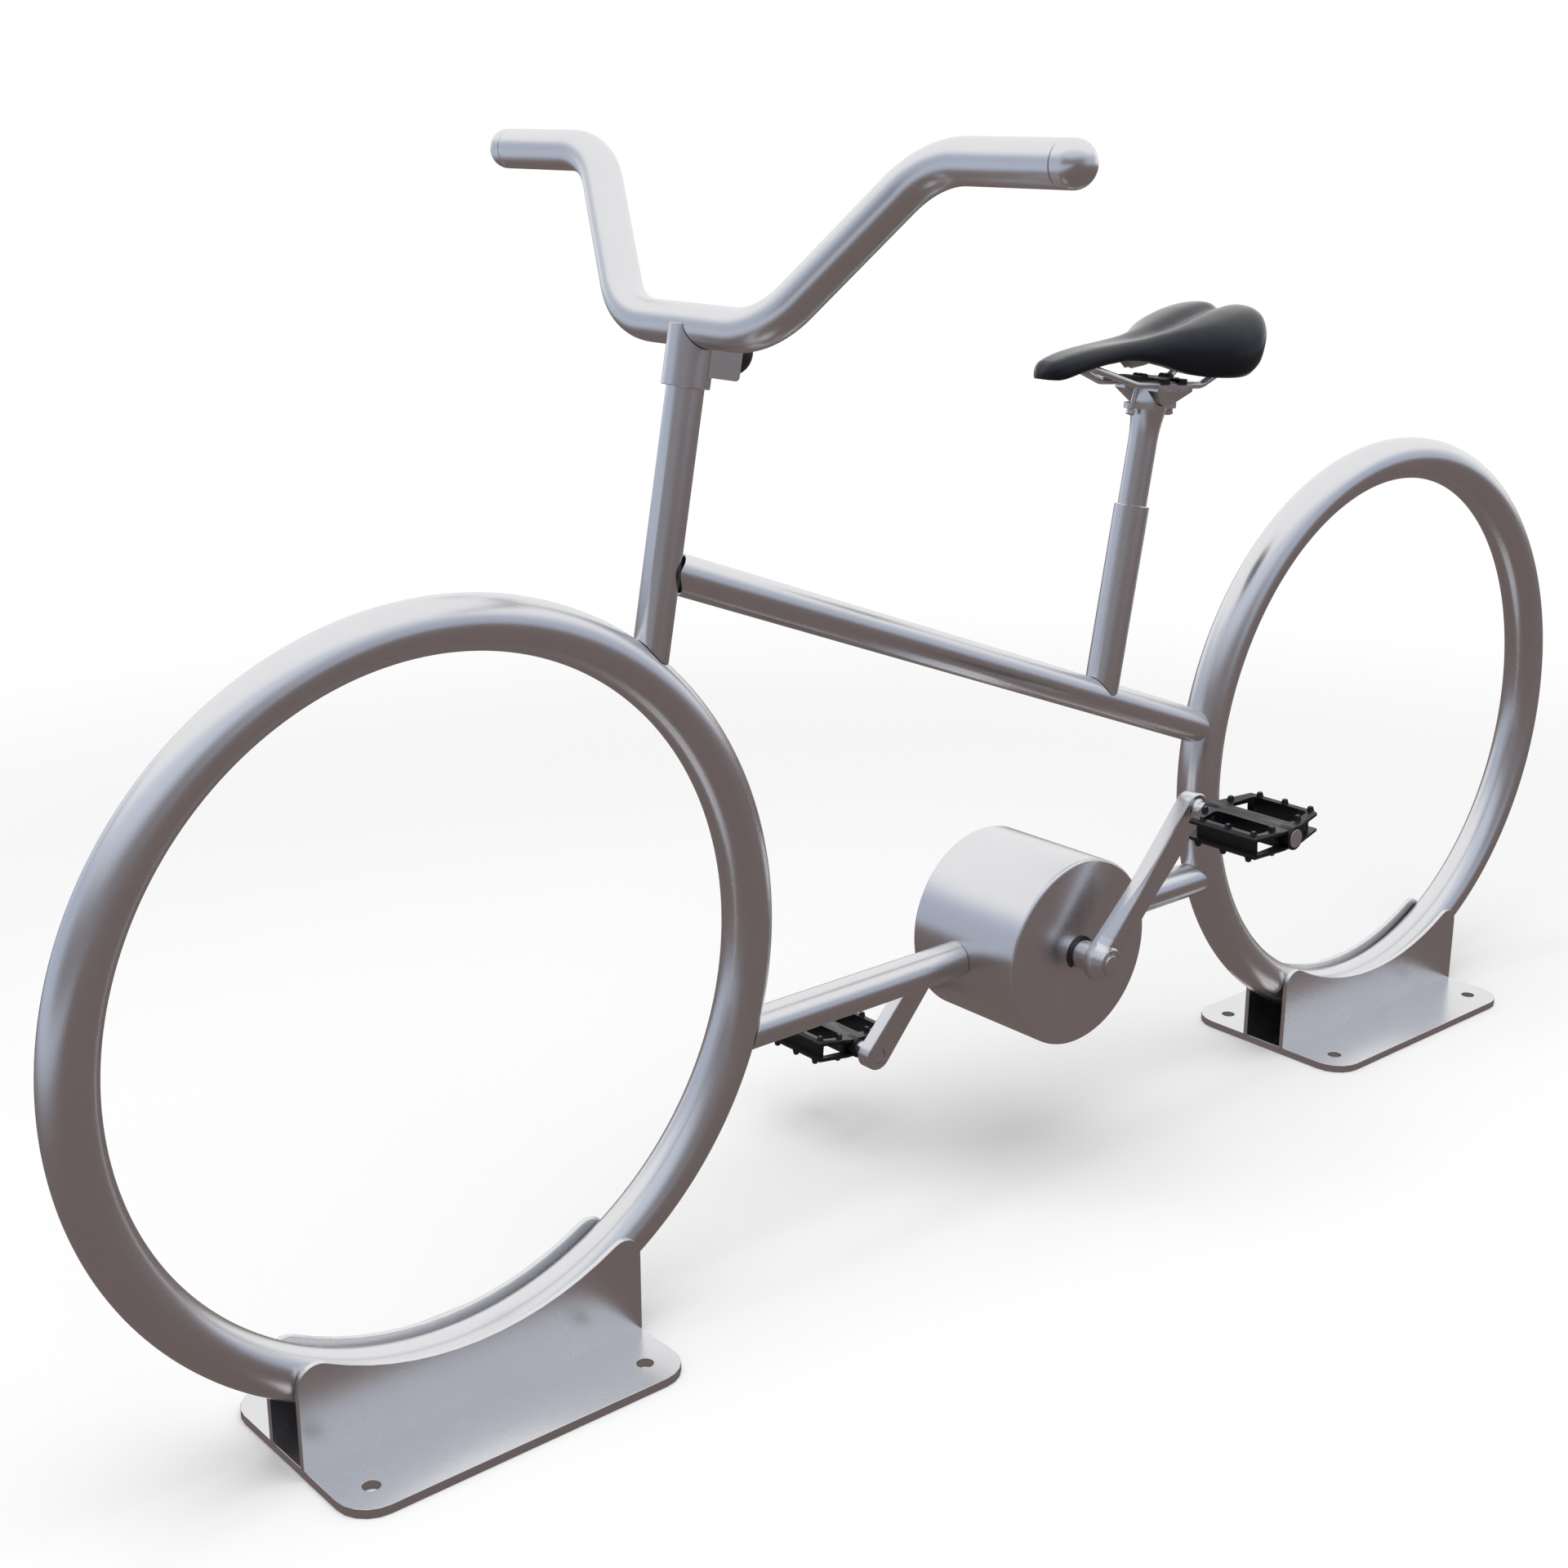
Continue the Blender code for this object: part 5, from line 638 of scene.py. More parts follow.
black_rubber = moulded_finish("black_rubber", (0.010, 0.010, 0.011), (0.020, 0.020, 0.021), 0.52, 900.0, 0.12)
dress(worked_copy("housing_box", "control_housing", 0.0009, 3), satin_steel, "satin_steel", "frame",
      "control_housing")
housing_centre = COLUMN_FOOT + (BAR_HEIGHT - SLEEVE_LENGTH + HOUSING_RISE + HOUSING_HEIGHT / 2) * UP_COLUMN
knob_outline = np.concatenate((domed(KNOB_RADIUS, KNOB_SKIRT, KNOB_DEPTH - KNOB_SKIRT, 20),
                               [(KNOB_RADIUS, GAP + EASE), (KNOB_RADIUS - EASE, GAP), (0.0, GAP)]))
dress(turned("knob_cap", knob_outline, housing_centre + HOUSING_REACH * BEHIND, BEHIND),
      black_rubber, "black_rubber", "knob", "control_knob")


# Top tube, seat tube and lower tubes: straight 34 mm and 33 mm steel tubes, each fish-mouthed to
# what it meets and welded; the top tube's front mouth stays open behind the column.
TOP_TUBE_RADIUS = 0.01686
TOP_TUBE_WALL = 0.0024
TOP_TUBE_SLOPE = math.radians(20.54)
TOP_TUBE_HEIGHT = 0.0901
TOP_TUBE_COPE_GAP = 0.0027
TOP_TUBE_MOUTH_DEPTH = 0.0500
SEAT_TUBE_RING_RUN = 0.1748
SEAT_TUBE_RADIUS = 0.0165
SEAT_TUBE_LENGTH = 0.1866
POST_RADIUS = 0.0136
SEAT_BORE_DEPTH = 0.1480
DRIVE = np.array((-0.0459, 0.0068, RING_HEIGHT - 0.1007))
LOWER_TUBE_RADIUS = 0.01725
LOWER_TUBE_DROP = 0.1054
DRUM_RADIUS = 0.0911

down_tube = np.array((-math.cos(TOP_TUBE_SLOPE), 0.0, -math.sin(TOP_TUBE_SLOPE)))
top_start = COLUMN_FOOT + TOP_TUBE_HEIGHT * UP_COLUMN
offset = top_start - REAR_RING
along_line = offset @ down_tube
top_end = top_start + (-along_line - math.sqrt(along_line**2 - offset @ offset + RING_RADIUS**2)) * down_tube
dress(coped_tube("top_frame_tube", top_start, top_end, TOP_TUBE_RADIUS,
                 off_tube(COLUMN_FOOT, UP_COLUMN, COLUMN_RADIUS + TOP_TUBE_COPE_GAP), off_ring(REAR_RING),
                 TOP_TUBE_RADIUS - TOP_TUBE_WALL, TOP_TUBE_MOUTH_DEPTH),
      satin_steel, "satin_steel", "frame", "top_tube")

seat_foot = top_end - SEAT_TUBE_RING_RUN * down_tube
seat_top = seat_foot + SEAT_TUBE_LENGTH * UP_COLUMN
dress(coped_tube("seat_frame_tube", seat_top, seat_foot, SEAT_TUBE_RADIUS,
                 short_of(seat_top, UP_COLUMN), off_tube(seat_foot, down_tube, TOP_TUBE_RADIUS + GAP),
                 POST_RADIUS + GAP, SEAT_BORE_DEPTH),
      satin_steel, "satin_steel", "frame", "seat_tube")

lower_height = RING_HEIGHT - LOWER_TUBE_DROP
lower_run = math.sqrt(RING_RADIUS**2 - LOWER_TUBE_DROP**2)
lower_middle = np.array((DRIVE[0], 0.0, lower_height))
for name, ring, side in (("front", FRONT_RING, 1), ("rear", REAR_RING, -1)):
    ring_end = np.array((ring[0] - side * lower_run, 0.0, lower_height))
    tube = coped_tube(f"{name}_stay_tube", lower_middle + side * np.array((DRUM_RADIUS / 2, 0.0, 0.0)), ring_end,
                      LOWER_TUBE_RADIUS, off_tube(DRIVE, LEFT, DRUM_RADIUS + GAP), off_ring(ring))
    dress(tube, satin_steel, "satin_steel", "frame", f"{name}_lower_tube")


# Drive drum: a turned steel casing with rounded rims and a hole at each end for the axle; inside
# are the brake's stator, rotor, bearings and spindle, and outside a collar and an open spring clip.
DRUM_LENGTH = 0.1317
DRUM_WALL = 0.0040
RIM_ROUND = 0.0032
COVER_THICKNESS = 0.0070
COVER_HUB_RADIUS = 0.0250
COVER_HUB_LENGTH = 0.0120
BEARING_RADIUS = 0.0175
BEARING_WIDTH = 0.0100
SPINDLE_RADIUS = 0.0095
COLLAR_RADIUS = 0.01365
COLLAR_LENGTH = 0.0180
CLIP_RADIUS = 0.0168
CLIP_THICKNESS = 0.0012
CLIP_OPENING = math.radians(50.0)
CLIP_TURN = math.radians(250.0)

face = DRUM_LENGTH / 2
back = face - COVER_THICKNESS
hub = back - COVER_HUB_LENGTH
hole = COLLAR_RADIUS + GAP
seat = BEARING_RADIUS + GAP
seat_depth = hub + BEARING_WIDTH + 2 * GAP
quarter = np.linspace(0.0, math.pi / 2, 9)
rim_curve = np.stack((DRUM_RADIUS - RIM_ROUND + RIM_ROUND * np.sin(quarter),
                      face - RIM_ROUND + RIM_ROUND * np.cos(quarter)), -1)
half_outline = np.concatenate((
    [(DRUM_RADIUS - DRUM_WALL, back), (COVER_HUB_RADIUS, back), (COVER_HUB_RADIUS, hub), (seat, hub),
     (seat, seat_depth), (hole, seat_depth), (hole, face - EASE), (hole + EASE, face)], rim_curve))
drum_outline = np.concatenate((half_outline, half_outline[::-1] * (1.0, -1.0)))
dress(turned("drum_casing", drum_outline, DRIVE, LEFT, 160, loop=True),
      satin_steel, "satin_steel", "frame", "drum_shell", "drum_cover_left", "drum_cover_right")

bright_aluminium = metal_finish("bright_aluminium", (0.73, 0.73, 0.745), (0.77, 0.77, 0.785),
                                0.27, 0.03, 2100.0, 0.004)
dark_steel = metal_finish("dark_steel", (0.085, 0.085, 0.09), (0.13, 0.13, 0.135), 0.40, 0.10, 1600.0, 0.12)


def clip_skin(name, side):
    """Open spring ring: an eased rectangle (radius, height) carried round all but the opening, each
    end drawn to a point so that it closes."""
    angle = CLIP_TURN + np.linspace(CLIP_OPENING / 2, 2 * math.pi - CLIP_OPENING / 2, 72)
    angle = np.concatenate((angle[:1], angle, angle[-1:]))
    low = face + GAP
    inner, outer, top, ease = COLLAR_RADIUS + GAP, CLIP_RADIUS, low + CLIP_THICKNESS, EASE / 2
    section = eased([(inner, low), (outer, low), (outer, top), (inner, top), (inner, low)], ease, 2)[:-1]
    middle = section.mean(0)
    size = np.ones(len(angle))
    size[[0, -1]] = 0.0
    shaped = middle + size[:, None, None] * (section - middle)
    first, second, along = across(side * LEFT)
    turn = np.cos(angle)[:, None, None] * first + np.sin(angle)[:, None, None] * second
    return skin(name, DRIVE + shaped[..., :1] * turn + shaped[..., 1:] * along)


for side, name in ((1, "left"), (-1, "right")):
    collar_low = hub + BEARING_WIDTH + 3 * GAP
    collar_top = face + COLLAR_LENGTH
    bore = SPINDLE_RADIUS + GAP
    collar_outline = eased([(bore, collar_low), (COLLAR_RADIUS, collar_low), (COLLAR_RADIUS, collar_top),
                            (bore, collar_top), (bore, collar_low)], EASE)[:-1]
    dress(turned(f"axle_collar_{name}", collar_outline, DRIVE, side * LEFT, loop=True),
          bright_aluminium, "bright_aluminium", "crank", f"spindle_collar_{name}")
    dress(clip_skin(f"spring_clip_{name}", side), dark_steel, "dark_steel", "frame", f"retaining_clip_{name}")


# Cranks: two forged aluminium arms keyed on the spindle. Each is one outline with a round boss and
# eye; its outer edges are taken off beside the boss and the facets fade out two thirds along.
CRANK_ANGLE = math.radians(128.4)
CRANK_LENGTH = 0.1680
CRANK_BOSS_RADIUS = 0.0196
CRANK_BOSS_BACK = 0.0870
CRANK_BOSS_SHOULDER = 0.0094
CRANK_BOSS_LENGTH = 0.0178
CRANK_FACE_RADIUS = 0.0138
CRANK_END_RADIUS = 0.0150
CRANK_HALF_WIDTH = 0.0128
CRANK_THICKNESS = 0.0150
CRANK_SET_OUT = 0.0098
CRANK_FACET_END = 0.1078
CRANK_EDGE = 0.0014
CRANK_ROOT_REACH = 0.0820
CRANK_ROOT_BLEND = 0.0012
CRANK_FACET_WIDTH = 0.0080
CRANK_FACET_DEPTH = 0.0098
CRANK_FACE_BLEND = 0.0009
SPINDLE_END_RADIUS = 0.0080
CRANK_CAP_RADIUS = 0.0108
CRANK_CAP_DISC_RADIUS = 0.0084
CRANK_CAP_DEPTH = 0.0060
CRANK_CAP_PROUD = 0.0016
CRANK_CAP_LIP = 0.0003
PEDAL_THREAD_RADIUS = 0.0070
CRANK_BOSS_TOP = CRANK_BOSS_BACK + CRANK_BOSS_LENGTH


def larger(first, second, blend):
    """The larger of two, filleted where they differ by less than the blend b: the larger plus
    b (1 - difference / b)^2 / 4."""
    near = np.clip(1 - np.abs(first - second) / blend, 0.0, None)
    return np.maximum(first, second) + blend / 4 * near**2


def crank_outline():
    """One half of the outline, from behind the boss to the tip of the eye: u along the arm and v
    across it. The sides are tangent to the boss and fair into the arm at CRANK_ROOT_REACH."""
    boss = CRANK_BOSS_RADIUS * np.cos(np.linspace(math.pi, math.pi / 2, 36))
    root = np.linspace(0.0, 2 * CRANK_BOSS_RADIUS, 66)[1:]
    arm = np.linspace(2 * CRANK_BOSS_RADIUS, CRANK_LENGTH, 44)[1:-1]
    eye = np.linspace(math.pi / 2, 0.0, 22)
    u = np.concatenate((boss, root, arm, CRANK_LENGTH + CRANK_END_RADIUS * np.cos(eye)))
    taper = np.clip(u / CRANK_LENGTH, 0.0, 1.0)
    side = CRANK_HALF_WIDTH + (CRANK_END_RADIUS - CRANK_HALF_WIDTH) * taper**2
    flare = CRANK_BOSS_RADIUS - (CRANK_BOSS_RADIUS - CRANK_HALF_WIDTH) * u / CRANK_ROOT_REACH
    v = np.where(u < 0, np.sqrt(np.clip(CRANK_BOSS_RADIUS**2 - u**2, 0.0, None)),
                 larger(side, flare, CRANK_ROOT_BLEND))
    v[-len(eye):] = CRANK_END_RADIUS * np.sin(eye)
    return u, v, np.clip(u, 0.0, CRANK_LENGTH)


def crank_skin(name, side, angle):
    """Arm in layers of its outline, each set in from the edge by a distance d. The upper side is
    the larger of the arm's plane, less its facet, and the boss's cone; the arm leans outwards."""
    u, v, middle = crank_outline()
    u, v, middle = (np.concatenate((half, flip * half[-2:0:-1])) for half, flip in ((u, 1), (v, -1), (middle, 1)))
    run = np.hypot(u - middle, v)
    lean = CRANK_SET_OUT / CRANK_LENGTH
    fade = np.clip((CRANK_FACET_END - u) / (CRANK_FACET_END - CRANK_BOSS_RADIUS), 0.0, 1.0) ** 1.3
    width = CRANK_EDGE + (CRANK_FACET_WIDTH - CRANK_EDGE) * fade
    depth = CRANK_EDGE + (CRANK_FACET_DEPTH - CRANK_EDGE) * fade
    slope = (CRANK_BOSS_LENGTH - CRANK_BOSS_SHOULDER) / (CRANK_BOSS_RADIUS - CRANK_FACE_RADIUS)

    def upper(inset):
        share = 1 - inset / run
        across_u, across_v = middle + share * (u - middle), share * v
        plane = CRANK_THICKNESS + lean * across_u
        arm = plane - depth * np.clip(1 - inset / width, 0.0, None)
        cone = CRANK_BOSS_LENGTH - slope * np.clip(np.hypot(across_u, across_v) - CRANK_FACE_RADIUS, 0.0, None)
        return across_u, across_v, larger(arm, cone, CRANK_FACE_BLEND)

    def lower(inset, lift):
        share = 1 - inset / run
        across_u = middle + share * (u - middle)
        return across_u, share * v, lean * np.clip(across_u - CRANK_BOSS_RADIUS / 2, 0.0, None) + lift

    layers = [lower(run * share, 0.0) for share in (1.0, 0.66, 0.33)]
    layers += [lower(CRANK_EDGE * (1 - math.sin(turn)), CRANK_EDGE * (1 - math.cos(turn)))
               for turn in (0.0, 0.5, 1.05, math.pi / 2)]
    layers += [upper(width * share) for share in (0.0, 0.04, 0.25, 0.5, 0.75, 0.95, 1.05)]
    layers += [upper(width * 1.05 + (run - width * 1.05) * share)
               for share in (0.08, 0.16, 0.24, 0.32, 0.4, 0.5, 0.6, 0.7, 0.8, 0.9, 1.0)]
    outward = side * LEFT
    radial = np.array((math.cos(angle), 0.0, math.sin(angle)))
    beside = np.cross(outward, radial)
    rings = [DRIVE + CRANK_BOSS_BACK * outward + layer[0][:, None] * radial + layer[1][:, None] * beside
             + np.broadcast_to(layer[2], layer[0].shape)[:, None] * outward for layer in layers]
    return skin(name, np.stack(rings), sharp=50.0)


def bored(piece, *cutters):
    """Takes the cutters' shapes out of a piece and keeps the result as its mesh."""
    for cutter in cutters:
        bore = piece.modifiers.new("bore", "BOOLEAN")
        bore.operation = "DIFFERENCE"
        bore.solver = "EXACT"
        bore.object = cutter
    worked = bpy.data.meshes.new_from_object(piece.evaluated_get(bpy.context.evaluated_depsgraph_get()))
    piece.modifiers.clear()
    piece.data = worked
    for cutter in cutters:
        bpy.data.objects.remove(cutter)
    worked.shade_smooth()
    worked.set_sharp_from_angle(angle=math.radians(38.0))
    return piece


for side, name in ((1, "left"), (-1, "right")):
    outward = side * LEFT
    angle = CRANK_ANGLE + (math.pi if side < 0 else 0.0)
    eye_face = DRIVE + CRANK_LENGTH * np.array((math.cos(angle), 0.0, math.sin(angle))) + (
        CRANK_BOSS_BACK + CRANK_SET_OUT + CRANK_THICKNESS) * outward
    hub_bore = turned("hub_bore", [(0.0, CRANK_BOSS_TOP + CRANK_EDGE),
                                   (CRANK_CAP_RADIUS + GAP, CRANK_BOSS_TOP + CRANK_EDGE),
                                   (CRANK_CAP_RADIUS + GAP, CRANK_BOSS_TOP - CRANK_CAP_DEPTH),
                                   (SPINDLE_END_RADIUS + GAP, CRANK_BOSS_TOP - CRANK_CAP_DEPTH),
                                   (SPINDLE_END_RADIUS + GAP, CRANK_BOSS_BACK - CRANK_EDGE),
                                   (0.0, CRANK_BOSS_BACK - CRANK_EDGE)], DRIVE, outward, 64)
    eye_bore = turned("eye_bore", [(0.0, CRANK_EDGE), (PEDAL_THREAD_RADIUS + GAP, CRANK_EDGE),
                                   (PEDAL_THREAD_RADIUS + GAP, -2 * CRANK_THICKNESS),
                                   (0.0, -2 * CRANK_THICKNESS)], eye_face, outward, 64)
    dress(bored(crank_skin(f"crank_arm_{name}", side, angle), hub_bore, eye_bore),
          bright_aluminium, "bright_aluminium", "crank", f"crank_{name}")
    cap_outline = eased([(0.0, CRANK_BOSS_TOP + CRANK_CAP_PROUD),
                         (CRANK_CAP_DISC_RADIUS, CRANK_BOSS_TOP + CRANK_CAP_PROUD),
                         (CRANK_CAP_DISC_RADIUS, CRANK_BOSS_TOP + CRANK_CAP_LIP),
                         (CRANK_CAP_RADIUS, CRANK_BOSS_TOP + CRANK_CAP_LIP),
                         (CRANK_CAP_RADIUS, CRANK_BOSS_TOP - CRANK_CAP_DEPTH + GAP),
                         (0.0, CRANK_BOSS_TOP - CRANK_CAP_DEPTH + GAP)], (0.0005, 0.0002, 0.0003, 0.0002))
    dress(turned(f"boss_cap_{name}", cap_outline, DRIVE, outward),
          bright_aluminium, "bright_aluminium", "crank", f"crank_cap_{name}")


# Pedals: a glass-filled nylon platform with a shallow dish, two windows, a slot between its rims
# and square grip studs, turning on a polished spindle screwed in the arm, with a pressed end cap.
black_nylon = moulded_finish("black_nylon", (0.0028, 0.0032, 0.0046), (0.0062, 0.0068, 0.0085),
                             0.30, 1300.0, 0.05)
PEDAL_SPINDLE_RADIUS = 0.0055
PEDAL_COLLAR_RADIUS = 0.0078
PEDAL_COLLAR_LENGTH = 0.0125
PEDAL_FLARE_RADIUS = 0.0110
PEDAL_FLARE_LENGTH = 0.0046
PEDAL_SEAT_DEPTH = 0.0012
for side, name in ((1, "left"), (-1, "right")):
    body = f"{name}_pedal"
    dress(worked_copy(f"tread_{name}", f"pedal_body_{name}", 0.0007, 3, 30.0),
          black_nylon, "black_nylon", body, f"pedal_body_{name}")
    dress(worked_copy(f"tread_cap_{name}", f"pedal_cap_{name}", 0.0003, 2, 40.0),
          bright_aluminium, "bright_aluminium", body, f"pedal_cap_{name}")
    foot = DRIVE + CRANK_LENGTH * np.array((side * math.cos(CRANK_ANGLE), 0.0, side * math.sin(CRANK_ANGLE))) + (
        CRANK_BOSS_BACK + CRANK_SET_OUT + CRANK_THICKNESS) * side * LEFT
    low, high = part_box(f"pedal_spindle_{name}")
    tip = abs((high.y if side > 0 else low.y) - foot[1])
    bend = np.linspace(0.0, math.pi / 2, 9)[1:-1]
    flare = np.stack((PEDAL_COLLAR_RADIUS + (PEDAL_FLARE_RADIUS - PEDAL_COLLAR_RADIUS) * (1 - np.sin(bend)),
                      GAP + PEDAL_FLARE_LENGTH * (1 - np.cos(bend))), -1)
    spindle_outline = np.concatenate((
        [(0.0, -CRANK_THICKNESS), (PEDAL_THREAD_RADIUS, -CRANK_THICKNESS), (PEDAL_THREAD_RADIUS, -PEDAL_SEAT_DEPTH),
         (PEDAL_FLARE_RADIUS, -PEDAL_SEAT_DEPTH), (PEDAL_FLARE_RADIUS, GAP)], flare,
        [(PEDAL_COLLAR_RADIUS, GAP + PEDAL_FLARE_LENGTH), (PEDAL_COLLAR_RADIUS, PEDAL_COLLAR_LENGTH - GAP),
         (PEDAL_SPINDLE_RADIUS, PEDAL_COLLAR_LENGTH - GAP), (PEDAL_SPINDLE_RADIUS, tip), (0.0, tip)]))
    dress(turned(f"tread_spindle_{name}", spindle_outline, foot, side * LEFT),
          bright_aluminium, "bright_aluminium", "crank", f"pedal_spindle_{name}")


# Seat post and rail clamp: a 27 mm tube with a flared head and an eared plate, a forged cradle
# that rocks on it, a black upper clamp hooked over the rails, two toed-in bolts and barrel nuts.
for new_name, node, edge, finish, slot in (
    ("post", "seat_post", 0.0005, satin_steel, "satin_steel"),
    ("rail_cradle", "clamp_cradle", 0.0004, bright_aluminium, "bright_aluminium"),
    ("rail_clamp", "clamp_top", 0.0004, black_nylon, "black_nylon"),
    ("cradle_bolt_front", "clamp_bolt_front", 0.0002, bright_aluminium, "bright_aluminium"),
    ("cradle_bolt_rear", "clamp_bolt_rear", 0.0002, bright_aluminium, "bright_aluminium"),
    ("round_nut_front", "barrel_nut_front", 0.0003, dark_steel, "dark_steel"),
    ("round_nut_rear", "barrel_nut_rear", 0.0003, dark_steel, "dark_steel"),
):
    dress(worked_copy(new_name, node, edge, 2, 34.0), finish, slot, "seat", node)


# Saddle rails and shell: two 7 mm alloy rails bent twice each, snapped into sockets of a moulded
# pale nylon shell that carries the pad.
RAIL_TILT = math.radians(4.5)
RAIL_RADIUS = 0.0035
RAIL_SPREAD = 0.0220
RAIL_NOSE = np.array((0.1040, 0.0095, 0.0238))
RAIL_FRONT_BEND = 0.0490
RAIL_REAR_BEND = 0.0440
RAIL_TAIL = np.array((-0.0880, 0.0290, 0.0180))
CLAMP_HEIGHT = 0.3016
saddle_centre = seat_foot + CLAMP_HEIGHT * UP_COLUMN
rail_drop = math.tan(RAIL_TILT)
for side, name in ((1, "left"), (-1, "right")):
    flip = np.array((1.0, side, 1.0))
    corners = [saddle_centre + corner * flip for corner in (
        RAIL_NOSE,
        np.array((RAIL_FRONT_BEND, RAIL_SPREAD, RAIL_FRONT_BEND * rail_drop)),
        np.array((-RAIL_REAR_BEND, RAIL_SPREAD, -RAIL_REAR_BEND * rail_drop)),
        RAIL_TAIL)]
    rail = carried_round(f"seat_rail_{name}", bent_line(corners, 5 * RAIL_RADIUS, 12), RAIL_RADIUS, LEFT, 0.0003, 40)
    dress(rail, bright_aluminium, "bright_aluminium", "seat", f"saddle_rail_{name}")

shell_plastic = moulded_finish("shell_plastic", (0.44, 0.43, 0.425), (0.50, 0.49, 0.485), 0.46, 700.0, 0.08)
dress(worked_copy("seat_shell", "saddle_shell", 0.0, 2, 40.0), shell_plastic, "shell_plastic", "seat", "saddle_shell")


# Saddle pad: dense foam under a stretched grained cover, crowned, drawn in along the skirt and
# turned under the shell, with a shallow channel that opens towards the split tail.
SADDLE_NOSE_REACH = 0.1555
SADDLE_LENGTH = 0.2635
SADDLE_HALF_WIDTH = 0.0700
SADDLE_SKIRT_RISE = 0.0071
SADDLE_CROWN_RISE = 0.0678
SADDLE_CHANNEL_DEPTH = 0.0060
SADDLE_CHANNEL_HALF_WIDTH = 0.0120
SADDLE_TAIL_NOTCH = 0.0100
SADDLE_SPLIT_SHARE = 0.85
NOSE_TAPER_SHARE = 0.24
NOSE_TIP_SHARE = 0.07
NOSE_ROW = 10
STATION_SHARES = np.array((
    (0.000, 0.064, 0.275, 0.185, 0.05, 0.00), (0.021, 0.179, 0.357, 0.130, 0.08, 0.00),
    (0.044, 0.226, 0.395, 0.124, 0.01, 0.00), (0.082, 0.260, 0.440, 0.147, 0.30, 0.00),
    (0.139, 0.283, 0.489, 0.203, 0.52, 0.00), (0.211, 0.294, 0.532, 0.259, 0.58, 0.03),
    (0.287, 0.303, 0.565, 0.298, 0.58, 0.12), (0.362, 0.320, 0.595, 0.321, 0.56, 0.30),
    (0.427, 0.354, 0.621, 0.301, 0.54, 0.50), (0.484, 0.400, 0.647, 0.255, 0.54, 0.68),
    (0.533, 0.464, 0.677, 0.193, 0.54, 0.80), (0.579, 0.557, 0.707, 0.110, 0.56, 0.90),
    (0.620, 0.671, 0.740, 0.054, 0.60, 1.00), (0.658, 0.786, 0.776, 0.018, 0.64, 1.00),
    (0.696, 0.883, 0.815, 0.005, 0.67, 1.00), (0.734, 0.949, 0.858, -0.003, 0.70, 1.00),
    (0.780, 0.991, 0.908, -0.002, 0.72, 1.00), (0.825, 1.000, 0.954, 0.031, 0.72, 1.00),
    (0.871, 0.977, 0.990, 0.135, 0.70, 1.00), (0.909, 0.911, 1.012, 0.308, 0.66, 1.00),
    (0.939, 0.820, 1.016, 0.456, 0.60, 0.90), (0.966, 0.686, 0.997, 0.596, 0.52, 0.80),
    (0.985, 0.529, 0.942, 0.671, 0.45, 0.70), (1.000, 0.329, 0.852, 0.720, 0.40, 0.60)))
OUTSIDE_SHARES = np.array((
    (0.00, 1.00), (0.14, 1.00), (0.30, 1.00), (0.48, 0.985), (0.65, 0.94), (0.80, 0.84), (0.91, 0.70),
    (0.98, 0.50), (1.00, 0.28), (0.97, 0.09), (0.91, 0.00)))
INSIDE_SHARES = np.array(((0.82, 0.08), (0.75, 0.45), (0.62, 0.82), (0.34, 1.00), (0.00, 1.00)))


def through(points, count):
    """Smooth curve through points, count steps between each two: on each span the cubic
    ((2 p1) + (p2 - p0) t + (2 p0 - 5 p1 + 4 p2 - p3) t^2 + (3 p1 - p0 - 3 p2 + p3) t^3) / 2."""
    padded = np.concatenate((2 * points[:1] - points[1:2], points, 2 * points[-1:] - points[-2:-1]))
    p0, p1, p2, p3 = (padded[k:len(padded) - 3 + k][:, None] for k in range(4))
    t = (np.arange(count) / count)[None, :, None]
    spans = 0.5 * (2 * p1 + (p2 - p0) * t + (2 * p0 - 5 * p1 + 4 * p2 - p3) * t**2
                   + (3 * p1 - p0 - 3 * p2 + p3) * t**3)
    return np.concatenate((spans.reshape(-1, points.shape[1]), points[-1:]))


def pad_skin(name):
    """Pad surface of station s and outline share q: y is the half width times the share across, z
    runs from skirt to crown outside and to the shell's roof inside, less the channel's bell curve,
    and near the tail x is pulled forward by the same bell curve to split it."""
    stations = through(STATION_SHARES, 5)
    outside = through(OUTSIDE_SHARES, 4)
    inside = through(np.concatenate((OUTSIDE_SHARES[-1:], INSIDE_SHARES)), 4)[1:]
    station, wide, crown, skirt, roof, channel = (values[:, None] for values in stations.T)
    tall = SADDLE_CROWN_RISE - SADDLE_SKIRT_RISE
    half = SADDLE_HALF_WIDTH * wide
    top = SADDLE_SKIRT_RISE + tall * crown
    bottom = SADDLE_SKIRT_RISE + tall * skirt
    y = half * np.concatenate((outside[:, 0], inside[:, 0]))
    bell = np.exp(-((y / SADDLE_CHANNEL_HALF_WIDTH) ** 2))
    split = np.clip((station - SADDLE_SPLIT_SHARE) / (1 - SADDLE_SPLIT_SHARE), 0.0, None) ** 2
    x = SADDLE_NOSE_REACH - SADDLE_LENGTH * station + SADDLE_TAIL_NOTCH * split * bell
    under = bottom + (top - bottom) * roof * inside[:, 1]
    over = bottom + (top - bottom) * outside[:, 1] - channel * SADDLE_CHANNEL_DEPTH * bell[:, :len(outside)]
    half_rings = np.stack((x, y, np.concatenate((over, under), 1)), -1)
    other = half_rings[:, -2:0:-1] * OTHER_SIDE
    rings = np.concatenate((half_rings, other), 1)
    return skin(name, saddle_centre + with_ends(rings[NOSE_ROW:]), sharp=75.0)


